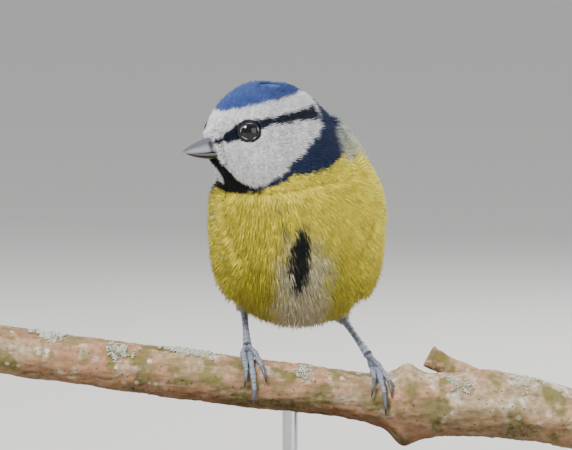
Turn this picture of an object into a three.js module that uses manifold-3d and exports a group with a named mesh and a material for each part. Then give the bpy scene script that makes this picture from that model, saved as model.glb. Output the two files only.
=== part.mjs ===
// A life-size still model of a blue tit that grips a short cut length of branch on a plain display stand.
// Millimetres, +Z up. The origin is the centre of the underside of the stand's base. The breast faces -Y,
// the branch runs along X, and the bird's left side is on +X.
import * as THREE from "three";
import { mergeVertices } from "three/addons/utils/BufferGeometryUtils.js";
import Module from "manifold-3d";

const wasm = await Module();
wasm.setup();

// Driving dimensions
const GAP = 0.3; // what touching pieces keep between them
const BASE_RADIUS = 42;
const BASE_HEIGHT = 8;
const BASE_CHAMFER = 1.5;
const ROD_RADIUS = 1.7;
const ROD_TOP = 34; // inside the branch, which trims the rod
const BODY_PLACE = [1.4, 3, 70]; // middle of the trunk above the origin
const BODY_YAW = 4; // degrees that the breast turns towards its left
const BLEND = 1.6; // how softly the forms of the body run into each other
const EYE_RADIUS = 3.2;
const EYE_OPENING = 2.15;
const BILL_LENGTH = 7.3;
const WING_LENGTH = 59;
const TAIL_LENGTH = 49;
const TAIL_PITCH = 13;
const TARSUS_RADIUS = 0.82;
const TOE_RADIUS = 0.68;
const VANE_THICKNESS = 0.55;

const rad = THREE.MathUtils.degToRad;
const vec = (x, y, z) => new THREE.Vector3(x, y, z);

// The bird's own frame has x to its left, y to its tail and z up, with the middle of the trunk at 0.
function toRow(p) {
  return p.clone().applyAxisAngle(vec(0, 0, 1), rad(BODY_YAW)).add(vec(...BODY_PLACE));
}

// Forms of the body: centre, radii and the angle by which the form's rear end drops
const TRUNK = [
  { at: [0, -3.6, 5.0], radii: [18.5, 13.8, 15.0], drop: 0 }, // chest
  { at: [0, -1.5, -4.6], radii: [17.6, 14.2, 15.9], drop: 0 }, // belly
  { at: [0, 13.0, 1.6], radii: [12.0, 19.0, 12.0], drop: 16 }, // back and rump
  { at: [0, 27.0, -6.0], radii: [6.2, 11.0, 4.8], drop: 12 }, // root of the tail
  { at: [1.0, 5.5, 12.0], radii: [13.8, 13.5, 11.5], drop: 0 }, // mantle
  { at: [-1.4, -1.5, 15.8], radii: [14.2, 12.8, 10.8], drop: 0 }, // neck
];
// Forms of the head in its own frame of forward, left and up
const HEAD_PLACE = vec(-8.2, -7.0, 22.2);
const HEAD_TURN = 62; // degrees that the bill turns to the bird's right
const HEAD_DIP = 8; // degrees that the bill points down
const HEAD = [
  { at: [-1.0, 0, 0.7], radii: [11.8, 10.0, 10.7] }, // skull
  { at: [4.8, 0, -0.5], radii: [8.2, 7.6, 8.1] }, // face
  { at: [0.5, 4.6, -4.6], radii: [8.3, 5.6, 6.4] }, // left cheek
  { at: [0.5, -4.6, -4.6], radii: [8.3, 5.6, 6.4] }, // right cheek
  { at: [-8.2, 0, -3.3], radii: [8.2, 10.0, 9.9] }, // nape
];

const level = vec(-Math.sin(rad(HEAD_TURN)), -Math.cos(rad(HEAD_TURN)), 0);
const FORWARD = level
  .clone()
  .multiplyScalar(Math.cos(rad(HEAD_DIP)))
  .add(vec(0, 0, -Math.sin(rad(HEAD_DIP))));
const LEFT = vec(Math.cos(rad(HEAD_TURN)), -Math.sin(rad(HEAD_TURN)), 0);
const UP = FORWARD.clone().cross(LEFT);

// A point given as forward, left and up of the middle of the head, in the bird's frame
function headPoint(f, l, u) {
  return HEAD_PLACE.clone().addScaledVector(FORWARD, f).addScaledVector(LEFT, l).addScaledVector(UP, u);
}

function ellipsoidDistance(x, y, z, rx, ry, rz) {
  const near = Math.hypot(x / rx, y / ry, z / rz);
  const slope = Math.hypot(x / rx ** 2, y / ry ** 2, z / rz ** 2) + 1e-9;
  return (near * (near - 1)) / slope;
}

function droppedDistance(p, form) {
  const [cx, cy, cz] = form.at;
  const c = Math.cos(rad(form.drop));
  const s = Math.sin(rad(form.drop));
  const y = p.y - cy;
  const z = p.z - cz;
  return ellipsoidDistance(p.x - cx, y * c - z * s, y * s + z * c, ...form.radii);
}

function softest(distances) {
  const least = Math.min(...distances);
  let sum = 0;
  for (const d of distances) sum += Math.exp((least - d) / BLEND);
  return least - BLEND * Math.log(sum);
}

function bodyDistance(p) {
  const distances = TRUNK.map((form) => droppedDistance(p, form));
  const q = p.clone().sub(HEAD_PLACE);
  const [f, l, u] = [q.dot(FORWARD), q.dot(LEFT), q.dot(UP)];
  for (const { at, radii } of HEAD) {
    distances.push(ellipsoidDistance(f - at[0], l - at[1], u - at[2], ...radii));
  }
  return softest(distances);
}

// Distance along a ray from inside a form to where the form's distance reaches a level
function reach(distance, from, way, wanted) {
  const step = 1.5;
  const at = (r) => distance(from.clone().addScaledVector(way, r)) - wanted;
  let far = step;
  while (at(far) <= 0 && far < 90) far += step;
  let near = far - step;
  for (let i = 0; i < 22; i++) {
    const middle = (near + far) / 2;
    if (at(middle) > 0) far = middle;
    else near = middle;
  }
  return (near + far) / 2;
}

// Rings of the body lie in planes that fan out from a line behind the nape.
const FAN_LINE = vec(0, 52, 44);
const SPINE = new THREE.CatmullRomCurve3(
  [
    vec(0, 36.5, -8.8),
    vec(0, 28, -6),
    vec(0, 18, -2),
    vec(0, 7, 1),
    vec(-1, 1, 6),
    vec(-4, -3, 12),
    vec(-7, -6, 18.5),
    vec(-8.4, -6.5, 25),
    vec(-8.7, -6, 32.6),
  ],
  false,
  "catmullrom",
  0.5,
);
const BODY_RINGS = 34;
const BODY_SIDES = 32;

function bodySolid(wanted, rings = BODY_RINGS, sides = BODY_SIDES) {
  const loops = [];
  let first, last;
  for (let i = 0; i < rings; i++) {
    const c = SPINE.getPoint((i + 0.5) / rings);
    const out = c.clone().sub(FAN_LINE).setX(0).normalize();
    const loop = [];
    for (let j = 0; j < sides; j++) {
      const a = (j / sides) * 2 * Math.PI;
      const way = vec(Math.cos(a), 0, 0).addScaledVector(out, Math.sin(a));
      loop.push(c.clone().addScaledVector(way, reach(bodyDistance, c, way, wanted)));
    }
    loops.push(loop);
    const along = out.clone().cross(vec(1, 0, 0));
    if (i === 0) {
      first = c.clone().addScaledVector(along, -reach(bodyDistance, c, along.clone().negate(), wanted));
    }
    if (i === rings - 1) last = c.clone().addScaledVector(along, reach(bodyDistance, c, along, wanted));
  }
  return loopSolid(loops, first, last);
}

// Solids from rings of points, closed by a point at each end
function solidOf(positions, faces) {
  const geometry = new THREE.BufferGeometry();
  geometry.setAttribute("position", new THREE.Float32BufferAttribute(positions.flatMap((p) => p.toArray()), 3));
  geometry.setIndex(faces.flat());
  return solid(geometry);
}

function solid(geometry) {
  const bare = geometry.clone();
  bare.deleteAttribute("normal");
  bare.deleteAttribute("uv");
  const merged = mergeVertices(bare, 1e-4);
  const made = new wasm.Manifold(
    new wasm.Mesh({
      numProp: 3,
      vertProperties: new Float32Array(merged.attributes.position.array),
      triVerts: new Uint32Array(merged.index.array),
    }),
  );
  if (made.volume() > 0) return made;
  const turned = new Uint32Array(merged.index.array).reverse();
  return new wasm.Manifold(
    new wasm.Mesh({
      numProp: 3,
      vertProperties: new Float32Array(merged.attributes.position.array),
      triVerts: turned,
    }),
  );
}

function loopSolid(loops, first, last) {
  const sides = loops[0].length;
  const points = [first, ...loops.flat(), last];
  const faces = [];
  const at = (i, j) => 1 + i * sides + (j % sides);
  for (let j = 0; j < sides; j++) {
    faces.push([0, at(0, j + 1), at(0, j)]);
    for (let i = 0; i + 1 < loops.length; i++) {
      faces.push([at(i, j), at(i, j + 1), at(i + 1, j + 1)]);
      faces.push([at(i, j), at(i + 1, j + 1), at(i + 1, j)]);
    }
    faces.push([points.length - 1, at(loops.length - 1, j), at(loops.length - 1, j + 1)]);
  }
  return solidOf(points, faces);
}

// A round bar along a curve, with a radius that may vary along it
function bar(curve, radiusAt, steps, sides) {
  const frames = curve.computeFrenetFrames(steps, false);
  const loops = [];
  for (let i = 0; i <= steps; i++) {
    const c = curve.getPointAt(i / steps);
    const r = radiusAt(i / steps);
    const loop = [];
    for (let j = 0; j < sides; j++) {
      const a = (j / sides) * 2 * Math.PI;
      loop.push(
        c
          .clone()
          .addScaledVector(frames.normals[i], r * Math.cos(a))
          .addScaledVector(frames.binormals[i], r * Math.sin(a)),
      );
    }
    loops.push(loop);
  }
  return loopSolid(loops, curve.getPointAt(0), curve.getPointAt(1));
}

const curveThrough = (points) => new THREE.CatmullRomCurve3(points, false, "centripetal");

// A feather's vane. Stations run from the root to the tip, each with its middle, the way across it,
// its outward way and its half width. Both faces are split alike.
function vane(stations, thickness = VANE_THICKNESS) {
  const points = [];
  for (const { middle, across, out, half } of stations) {
    for (const [side, lift] of [
      [-1, 0.5],
      [1, 0.5],
      [1, -0.5],
      [-1, -0.5],
    ]) {
      points.push(
        middle
          .clone()
          .addScaledVector(across, side * half)
          .addScaledVector(out, lift * thickness),
      );
    }
  }
  const faces = [
    [0, 2, 1],
    [0, 3, 2],
  ];
  for (let i = 0; i + 1 < stations.length; i++) {
    const a = i * 4;
    const b = a + 4;
    faces.push([a, a + 1, b + 1], [a, b + 1, b]);
    faces.push([a + 3, b + 2, a + 2], [a + 3, b + 3, b + 2]);
    faces.push([a + 1, a + 2, b + 2], [a + 1, b + 2, b + 1]);
    faces.push([a + 3, a, b], [a + 3, b, b + 3]);
  }
  const e = (stations.length - 1) * 4;
  faces.push([e, e + 1, e + 2], [e, e + 2, e + 3]);
  return solidOf(points, faces);
}

const joined = (solids) => solids.reduce((sum, next) => sum.add(next));

function largest(made) {
  const bodies = made.decompose();
  return bodies.reduce((best, next) => (next.volume() > best.volume() ? next : best));
}

// Body, parted by thin cuts
const whole = bodySolid(0);
const clearOfBody = bodySolid(GAP);

function slab(point, normal, thickness, depth = 160) {
  const box = new THREE.BoxGeometry(depth, depth, thickness);
  box.applyQuaternion(new THREE.Quaternion().setFromUnitVectors(vec(0, 0, 1), normal.clone().normalize()));
  box.translate(point.x, point.y, point.z);
  return solid(box);
}

// The part of a solid that lies on the side of a plane to which the normal points
function beyond(made, point, normal, shift = 0) {
  const depth = 160;
  const n = normal.clone().normalize();
  return made.intersect(slab(point.clone().addScaledVector(n, depth / 2 + shift), n, depth));
}

const COLLAR_SLOPE = vec(-0.25, -0.25, 1); // the collar's plane rises to the left and to the nape
const COLLAR_PLACE = vec(-14, -16, 9);
const NECK_HEIGHT = 4.5;
const TAIL_CUT = vec(0, 30, -7);
const tailWay = vec(0, Math.cos(rad(TAIL_PITCH)), -Math.sin(rad(TAIL_PITCH)));

const neckFoot = COLLAR_PLACE.clone().addScaledVector(COLLAR_SLOPE.clone().normalize(), -NECK_HEIGHT);
const down = COLLAR_SLOPE.clone().negate();
const headRaw = beyond(whole, COLLAR_PLACE, COLLAR_SLOPE, GAP / 2);
const neckSolid = beyond(beyond(whole, COLLAR_PLACE, down, GAP / 2), neckFoot, COLLAR_SLOPE, GAP / 2);
const trunkRaw = beyond(beyond(whole, neckFoot, down, GAP / 2), TAIL_CUT, tailWay.clone().negate(), GAP / 2);
const tailRoot = beyond(whole, TAIL_CUT, tailWay, GAP / 2);

// Bill: both halves are lofted along the head's forward axis and sit in a pocket of the face.
const BILL_ROOT = 11.5; // forward of the middle of the head, inside the face
const BILL_TIP = 13.5 + BILL_LENGTH;
const BILL_LINE = -2.05; // height of the line of the mouth at the root
const BILL_RISE = 0.9; // how far the tip lies above that height

function billHalf(upper, grow = 0) {
  const stations = 8;
  const sides = 8;
  const loops = [];
  const tip = upper ? BILL_TIP : BILL_TIP - 0.9;
  for (let i = grow > 0 ? -1 : 0; i <= stations; i++) {
    const t = Math.max(0, i / stations);
    const f = i < 0 ? BILL_ROOT - grow : BILL_ROOT + (tip - BILL_ROOT) * t;
    const width = 2.15 * (1 - t ** 1.7) ** 0.8 + 0.14 + grow;
    const depth = (upper ? 3.2 : 1.45) * (1 - t ** 1.9) ** 0.85 + 0.14 + grow;
    const line = BILL_LINE + BILL_RISE * t * t + (upper ? GAP / 2 - grow : -GAP / 2 + grow);
    const loop = [];
    for (let j = 0; j <= sides; j++) {
      const a = (j / sides) * Math.PI;
      const rise = Math.sin(a) ** 0.9 * depth;
      loop.push(headPoint(f, width * Math.cos(a), upper ? line + rise : line - rise));
    }
    loops.push(loop);
  }
  const root = loops[0].reduce((sum, p) => sum.add(p), vec(0, 0, 0)).divideScalar(sides + 1);
  const end = loops.at(-1).reduce((sum, p) => sum.add(p), vec(0, 0, 0)).divideScalar(sides + 1);
  return loopSolid(loops, root, end.addScaledVector(FORWARD, 0.15));
}

function nostril(side) {
  const pit = new THREE.SphereGeometry(0.42, 8, 6);
  pit.scale(1.5, 1, 0.8);
  const at = headPoint(14.1, side * 1.75, -0.15);
  pit.applyQuaternion(new THREE.Quaternion().setFromUnitVectors(vec(1, 0, 0), FORWARD));
  pit.translate(at.x, at.y, at.z);
  return solid(pit);
}

const upperBill = billHalf(true).subtract(nostril(1)).subtract(nostril(-1));
const lowerBill = billHalf(false);

// Eyes: a ball deep in a socket, with the raised ring of the lids round the opening
const EYE_WAY = { forward: 0.42, left: 0.9, up: 0.14 };
const EYE_PLACE = { forward: 8.0, up: 1.9 };

function eyeOf(side) {
  const way = FORWARD.clone()
    .multiplyScalar(EYE_WAY.forward)
    .addScaledVector(LEFT, side * EYE_WAY.left)
    .addScaledVector(UP, EYE_WAY.up)
    .normalize();
  const inside = headPoint(EYE_PLACE.forward, 0, EYE_PLACE.up);
  const surface = inside
    .clone()
    .addScaledVector(LEFT, side * reach(bodyDistance, inside, LEFT.clone().multiplyScalar(side), 0));
  const depth = Math.sqrt(EYE_RADIUS ** 2 - EYE_OPENING ** 2);
  return { way, surface, middle: surface.clone().addScaledVector(way, -depth) };
}

function ball(radius, at, wide = 14, high = 10) {
  const sphere = new THREE.SphereGeometry(radius, wide, high);
  sphere.translate(at.x, at.y, at.z);
  return solid(sphere);
}

function lids(eye) {
  const ring = new THREE.TorusGeometry(EYE_OPENING + 0.3, 0.42, 5, 16);
  ring.applyQuaternion(new THREE.Quaternion().setFromUnitVectors(vec(0, 0, 1), eye.way));
  const at = eye.surface.clone().addScaledVector(eye.way, 0.05);
  ring.translate(at.x, at.y, at.z);
  return solid(ring);
}

const eyes = [1, -1].map(eyeOf);
const headSolid = largest(
  joined([headRaw, ...eyes.map(lids)])
    .subtract(joined(eyes.map((eye) => ball(EYE_RADIUS + GAP, eye.middle))))
    .subtract(billHalf(true, GAP))
    .subtract(billHalf(false, GAP)),
);

// Wings: the folded wing hugs the flank. A place on it is a length from the wrist and an angle round the trunk.
const WRIST = vec(0, -5, 3);
const WING_DROP = 9;
const wingWay = vec(0, Math.cos(rad(WING_DROP)), -Math.sin(rad(WING_DROP)));
const wingUp = vec(0, Math.sin(rad(WING_DROP)), Math.cos(rad(WING_DROP)));
const QUILL_BED = { at: [3.8, 30, 0.6], radii: [4.6, 28.0, 5.4], drop: 9 }; // carries the long quills

function wingDistance(p) {
  const distances = TRUNK.map((form) => droppedDistance(p, form));
  for (const side of [1, -1]) {
    const [x, y, z] = QUILL_BED.at;
    distances.push(droppedDistance(p, { ...QUILL_BED, at: [side * x, y, z] }));
  }
  return softest(distances);
}

function wingPlace(side, along, angle, lift) {
  const from = WRIST.clone().addScaledVector(wingWay, along);
  const way = vec(side * Math.cos(rad(angle)), 0, 0).addScaledVector(wingUp, Math.sin(rad(angle)));
  const r = reach(wingDistance, from, way, 0) + lift;
  return { point: from.addScaledVector(way, r), way, r };
}

// One quill: root and tip as [length from the wrist, angle], full width, and how high it lies
function quill(side, { root, tip, width, lift, sharp = 1, sink = 0.9, steps = 5, tilt = 0.16 }) {
  const stations = [];
  for (let i = 0; i <= steps; i++) {
    const t = i / steps;
    const along = THREE.MathUtils.lerp(root[0], tip[0], t);
    const angle = THREE.MathUtils.lerp(root[1], tip[1], t ** 1.4);
    const half = (width / 2) * Math.min(1, 0.55 + 1.6 * t) * Math.max(0.16, (1 - t ** (5 / sharp)) ** 0.6);
    const height = lift - sink * (1 - t) ** 2;
    const middle = wingPlace(side, along, angle, height);
    const turn = THREE.MathUtils.radToDeg(half / middle.r);
    const low = wingPlace(side, along, angle - turn, height + tilt * half);
    const high = wingPlace(side, along, angle + turn, height - tilt * half);
    const across = high.point.clone().sub(low.point);
    const centre = high.point.clone().add(low.point).multiplyScalar(0.5);
    stations.push({ middle: centre, across: across.normalize(), out: middle.way, half });
  }
  return vane(stations);
}

const spread = (count, from, to, i) => from + ((to - from) * i) / (count - 1);

function wingQuills() {
  const quills = [];
  const primaries = 5;
  const primaryTips = [54, 58.5, 59, 55, 50];
  for (let i = 0; i < primaries; i++) {
    quills.push({
      root: [14, spread(primaries, -13, 9, i)],
      tip: [(primaryTips[i] * WING_LENGTH) / 59, spread(primaries, 8, 30, i)],
      width: 5.8,
      lift: 0.75,
      sharp: 1.9,
      steps: 4,
    });
  }
  const secondaries = 3;
  for (let i = 0; i < secondaries; i++) {
    quills.push({
      root: [13, spread(secondaries, 11, 28, i)],
      tip: [spread(secondaries, 47, 43, i), spread(secondaries, 36, 54, i)],
      width: 7,
      lift: 0.9,
      steps: 3,
    });
  }
  const tertials = 3;
  for (let i = 0; i < tertials; i++) {
    quills.push({
      root: [12, spread(tertials, 34, 56, i)],
      tip: [spread(tertials, 41, 31, i), spread(tertials, 60, 78, i)],
      width: 6.8,
      lift: 1.1,
      steps: 3,
    });
  }
  const greater = 4;
  for (let i = 0; i < greater; i++) {
    quills.push({
      root: [8, spread(greater, -4, 48, i)],
      tip: [spread(greater, 22.5, 20.5, i), spread(greater, 0, 54, i)],
      width: 8.6,
      lift: 1.25,
      steps: 2,
    });
  }
  const primaryCoverts = 2;
  for (let i = 0; i < primaryCoverts; i++) {
    quills.push({
      root: [8, spread(primaryCoverts, -17, -8, i)],
      tip: [spread(primaryCoverts, 21, 24, i), spread(primaryCoverts, -13, -3, i)],
      width: 4,
      lift: 1.05,
      sharp: 1.5,
      steps: 2,
    });
  }
  const alula = 2;
  for (let i = 0; i < alula; i++) {
    quills.push({
      root: [3, spread(alula, -15, -11, i)],
      tip: [spread(alula, 14, 16.5, i), spread(alula, -16, -10, i)],
      width: 3.2,
      lift: 1.2,
      sharp: 1.5,
      steps: 2,
    });
  }
  const median = 3;
  for (let i = 0; i < median; i++) {
    quills.push({
      root: [3, spread(median, -3, 44, i)],
      tip: [13, spread(median, -2, 45, i)],
      width: 9,
      lift: 1.45,
      steps: 2,
    });
  }
  return quills;
}

// The fleshy fore part of the wing, under the small coverts
function arm(side) {
  const loops = [];
  const rings = 7;
  const sides = 10;
  for (let i = 0; i < rings; i++) {
    const t = (i + 0.4) / (rings - 0.2);
    const along = THREE.MathUtils.lerp(-1.5, 17, t);
    const fullness = Math.sin(Math.PI * t ** 0.75) ** 0.6;
    const middleAngle = 15 + 5 * t;
    const loop = [];
    for (let j = 0; j < sides; j++) {
      const a = (j / sides) * 2 * Math.PI;
      const angle = middleAngle + 31 * fullness * Math.cos(a);
      loop.push(wingPlace(side, along, angle, 0.3 + (0.5 + 0.7 * t) * fullness * Math.sin(a)).point);
    }
    loops.push(loop);
  }
  const first = wingPlace(side, -5, 15, 0.35).point;
  const last = wingPlace(side, 17.5, 20, 0.35).point;
  return loopSolid(loops, first, last);
}

function wingSolid(side) {
  const parts = joined([arm(side), ...wingQuills().map((q) => quill(side, q))]);
  const outer = beyond(parts, vec(0, 0, 0), vec(side, 0, 0), GAP / 2);
  return largest(outer.subtract(clearOfBody).subtract(clearOfTail));
}

// Tail: twelve long feathers in tiers, the middle pair on top, with coverts above and below
const tailUp = vec(0, Math.sin(rad(TAIL_PITCH)), Math.cos(rad(TAIL_PITCH)));
const TAIL_ROOT = vec(0, 26.5, -6.1);
const TAIL_PAIRS = 6;
const TAIL_STEP = 0.36;
const TAIL_SPAN = 7.5; // half of the width that the wings leave free

function tailFeather({ side, start, length, spreadAngle, offset, height, width, sharp = 1, rise = 0 }) {
  const steps = 4;
  const across = vec(Math.cos(rad(spreadAngle)), 0, 0).multiplyScalar(side);
  const stations = [];
  for (let i = 0; i <= steps; i++) {
    const t = i / steps;
    const middle = TAIL_ROOT.clone()
      .addScaledVector(tailWay, start + length * t)
      .addScaledVector(tailUp, height + rise * t)
      .addScaledVector(vec(side, 0, 0), offset * (0.45 + 0.55 * t) + length * t * Math.sin(rad(spreadAngle)));
    const half = (width / 2) * Math.min(1, 0.5 + 2 * t) * Math.max(0.2, (1 - t ** (7 / sharp)) ** 0.55);
    stations.push({ middle, across: across.clone().normalize(), out: tailUp, half });
  }
  return vane(stations);
}

function tailSolid() {
  const parts = [tailRoot];
  for (let i = 0; i < TAIL_PAIRS; i++) {
    for (const side of [1, -1]) {
      parts.push(
        tailFeather({
          side,
          start: 0,
          length: TAIL_LENGTH - 1.6 + 0.3 * i,
          spreadAngle: 0.35 * i,
          offset: 0.9 + 0.55 * i,
          height: 0.9 - TAIL_STEP * i - (side > 0 ? 0 : TAIL_STEP / 3),
          width: 5.2,
        }),
      );
    }
  }
  const coverts = 2;
  for (let i = 0; i < coverts; i++) {
    for (const side of [1, -1]) {
      const shared = { side, spreadAngle: 2 * i, offset: 1.2 + 2.6 * i, width: 5, sharp: 1.3 };
      parts.push(tailFeather({ ...shared, start: 4.5, length: 13 - 2 * i, height: 2.6 - 0.5 * i, rise: -1.1 }));
      parts.push(tailFeather({ ...shared, start: 3, length: 19 - 3 * i, height: -3.4 + 0.5 * i, rise: 1.5 }));
    }
  }
  return largest(beyond(joined(parts), TAIL_CUT, tailWay, GAP / 2));
}

// What the wings leave free round the tail
function tailRoom() {
  const blocks = [
    { start: 3, end: 64, top: 1.2 + GAP },
    { start: 3, end: 20, top: 3 + GAP },
  ];
  return joined(
    blocks.map(({ start, end, top }) => {
      const block = new THREE.BoxGeometry(2 * TAIL_SPAN, end - start, 9);
      block.rotateX(-rad(TAIL_PITCH));
      const at = TAIL_ROOT.clone()
        .addScaledVector(tailWay, (start + end) / 2)
        .addScaledVector(tailUp, top - 4.5);
      block.translate(at.x, at.y, at.z);
      return solid(block);
    }),
  );
}

// Perch: a cut length of branch with a knot and the stub of a twig
const BRANCH_LINE = curveThrough([
  vec(-66.7, 0.6, 44.2),
  vec(-44.4, 0, 41.1),
  vec(-22.2, -0.2, 38.1),
  vec(-0.9, 0, 35.6),
  vec(12.2, 0.2, 34),
  vec(24.4, 0.4, 32.2),
  vec(35.6, 0.8, 31.6),
  vec(47.8, 1.4, 31.1),
  vec(56.7, 2, 29.6),
  vec(66.2, 2.6, 27.3),
]);
const BRANCH_RADIUS = 5.35;
const KNOT_AT = 0.69; // share of the branch's length
const branchRadius = (t) => {
  const swell = THREE.MathUtils.smoothstep(t, 0.6, 0.72) * 1.75 - THREE.MathUtils.smoothstep(t, 0.86, 1) * 0.9;
  const knot = 0.75 * Math.exp(-(((t - KNOT_AT) / 0.014) ** 2));
  return BRANCH_RADIUS - 0.15 * Math.cos(t * 9) + swell + knot;
};

function branchSolid(grow = 0, steps = 34, sides = 12) {
  const radius = (t) => branchRadius(t) + grow;
  const knob = new THREE.SphereGeometry(2.6 + grow, 10, 7);
  knob.scale(1.1, 1, 0.8);
  knob.translate(26.2, -1.5, 38.7);
  const lump = new THREE.SphereGeometry(3.4 + grow, 10, 7);
  lump.translate(24.9, -0.5, 26.4);
  const stubLine = curveThrough([
    vec(44.9, 4, 33.8),
    vec(39.6, 5, 37.6),
    vec(34.9, 5.5, 39.8),
    vec(30.9, 5.5, 42),
  ]);
  const stub = bar(stubLine, (t) => 2.9 - 0.9 * t + 0.55 * Math.exp(-(((t - 1) / 0.14) ** 2)) + grow, 8, 10);
  return joined([bar(BRANCH_LINE, radius, steps, sides), solid(knob), solid(lump), stub]);
}

// A place over the bark, at a given X and at an angle from the branch's top towards the breast's side
function onBranch(x, degrees, lift) {
  let [low, high] = [0, 1];
  for (let i = 0; i < 30; i++) {
    const middle = (low + high) / 2;
    if (BRANCH_LINE.getPointAt(middle).x < x) low = middle;
    else high = middle;
  }
  const r = branchRadius(low) + lift;
  const a = rad(degrees);
  return BRANCH_LINE.getPointAt(low).add(vec(0, -r * Math.sin(a), r * Math.cos(a)));
}

// Legs, in the row's own frame. A toe runs over the bark from its root to its end, and the claw goes on.
const FEET = {
  right: {
    heel: vec(-10.4, 11.2, 53.2),
    ankle: vec(-9.5, -1.6, 44.9),
    hip: vec(-7.0, 5.5, 58),
    toes: [
      { x: [-10.4, -9.6, -10.1], turn: [12, 66, 98] }, // inner toe
      { x: [-9.0, -7.8, -8.2], turn: [10, 104, 136] }, // middle toe
      { x: [-7.7, -6.0, -5.2], turn: [14, 52, 84] }, // outer toe
      { x: [-9.2, -9.3, -9.6], turn: [-20, -78, -122] }, // hind toe
    ],
  },
  left: {
    heel: vec(11.5, 11.6, 50.6),
    ankle: vec(17.3, -1.9, 42.9),
    hip: vec(8.5, 5.5, 56.5),
    toes: [
      { x: [18.2, 18.8, 18.0], turn: [10, 48, 86] }, // inner toe
      { x: [19.1, 21.0, 21.3], turn: [8, 76, 120] }, // middle toe
      { x: [20.0, 22.2, 22.6], turn: [12, 52, 82] }, // outer toe
      { x: [18.7, 18.2, 18.0], turn: [-18, -72, -112] }, // hind toe
    ],
  },
};
const CLAW_CLEARANCE = GAP + 0.15;

function toePoints({ x, turn }, ankle) {
  const rest = TOE_RADIUS + GAP;
  const points = [ankle.clone()];
  const knuckles = 3;
  for (let i = 0; i <= knuckles; i++) {
    const t = i / knuckles;
    const at = THREE.MathUtils.lerp(x[0], x[1], t);
    const arch = i === 0 ? 0.55 : 0.12 * (i % 2);
    points.push(onBranch(at, THREE.MathUtils.lerp(turn[0], turn[1], t), rest + arch));
  }
  return points;
}

function legPieces(name, { heel, ankle, hip, toes }) {
  const shankWay = ankle.clone().sub(heel).normalize();
  const sockEnd = heel.clone().addScaledVector(shankWay, 2.2);
  const thighTube = (grow) => {
    const line = curveThrough([toRow(vec(0, 0, 0)).lerp(hip, 0.78 - grow / 12), hip, heel, sockEnd]);
    const radius = (t) => THREE.MathUtils.lerp(4.6, 1.25, Math.min(1, t ** 1.1 * 1.1)) + grow;
    return bar(line, radius, 9, 12);
  };
  const shankStart = sockEnd.clone().addScaledVector(shankWay, GAP);
  const shankEnd = ankle.clone().addScaledVector(shankWay, -1.2);
  const shankLine = new THREE.LineCurve3(shankStart, shankEnd);
  const shankRadius = (t) => TARSUS_RADIUS * (1.12 - 0.25 * Math.sin(Math.PI * t));
  const footStart = shankEnd.clone().addScaledVector(shankWay, GAP);
  const palm = bar(
    curveThrough([footStart, ankle, ankle.clone().addScaledVector(shankWay, 0.9)]),
    (t) => TARSUS_RADIUS * (1.05 + 0.35 * t),
    4,
    9,
  );
  const shankRoom = bar(new THREE.LineCurve3(sockEnd, footStart), () => TARSUS_RADIUS * 1.12 + GAP, 1, 9);
  const toeParts = [beyond(palm, shankEnd, shankWay, GAP)];
  const pieces = [];
  toes.forEach((toe, k) => {
    const line = curveThrough(toePoints(toe, ankle));
    const pad = (t) => TOE_RADIUS * (1.02 - 0.22 * t + 0.1 * Math.cos(t * 6 * Math.PI));
    toeParts.push(bar(line, pad, 8, 7));
    const end = line.getPointAt(1);
    const way = line.getTangentAt(1);
    const start = end.clone().addScaledVector(way, -0.2);
    const middleTurn = (toe.turn[1] + toe.turn[2]) / 2;
    const clawLine = curveThrough([
      start,
      onBranch((toe.x[1] + toe.x[2]) / 2, middleTurn, CLAW_CLEARANCE + 0.75),
      onBranch(toe.x[2], toe.turn[2], CLAW_CLEARANCE),
    ]);
    const claw = bar(clawLine, (t) => 0.56 * (1 - t) ** 0.75 + 0.1, 5, 7);
    pieces.push([`claw_${name}_${k + 1}`, beyond(claw, end, way, GAP), "claw"]);
  });
  pieces.unshift(
    [`thigh_${name}`, thighTube(0), "thigh"],
    [`thigh_room_${name}`, thighTube(GAP), "room"],
    [`tarsus_${name}`, bar(shankLine, shankRadius, 6, 9), "leg"],
    [`foot_${name}`, joined(toeParts).subtract(shankRoom), "leg"],
  );
  return pieces;
}

// Stand
function standBase() {
  const profile = [
    [0, 0],
    [BASE_RADIUS, 0],
    [BASE_RADIUS, BASE_HEIGHT - BASE_CHAMFER],
    [BASE_RADIUS - BASE_CHAMFER, BASE_HEIGHT],
    [0, BASE_HEIGHT],
  ].map(([x, y]) => new THREE.Vector2(x, y));
  const turned = new THREE.LatheGeometry(profile, 48);
  turned.rotateX(Math.PI / 2);
  return solid(turned);
}

function standRod() {
  const height = ROD_TOP - BASE_HEIGHT - GAP;
  const rod = new THREE.CylinderGeometry(ROD_RADIUS, ROD_RADIUS, height, 20);
  rod.rotateX(Math.PI / 2);
  rod.translate(0, 0, BASE_HEIGHT + GAP + height / 2);
  return solid(rod).subtract(branchSolid(GAP));
}

// Finishes
const finish = (color, roughness, metalness = 0) =>
  new THREE.MeshStandardMaterial({ color, roughness, metalness });
const FINISHES = {
  head: finish(0xe8e8ea, 0.8),
  neck: finish(0x1c2740, 0.8),
  trunk: finish(0xc9b53a, 0.85),
  tail: finish(0x3d6699, 0.7),
  wing: finish(0x3b6aa8, 0.7),
  bill: finish(0x59606b, 0.4),
  eye: finish(0x0b0908, 0.08),
  thigh: finish(0xcfcab4, 0.85),
  leg: finish(0x66707f, 0.55),
  claw: finish(0x4b525c, 0.4),
  bark: finish(0x9b8668, 0.9),
  base: finish(0x5a3d28, 0.45),
  rod: finish(0x9a9ca0, 0.3, 1),
};

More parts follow.
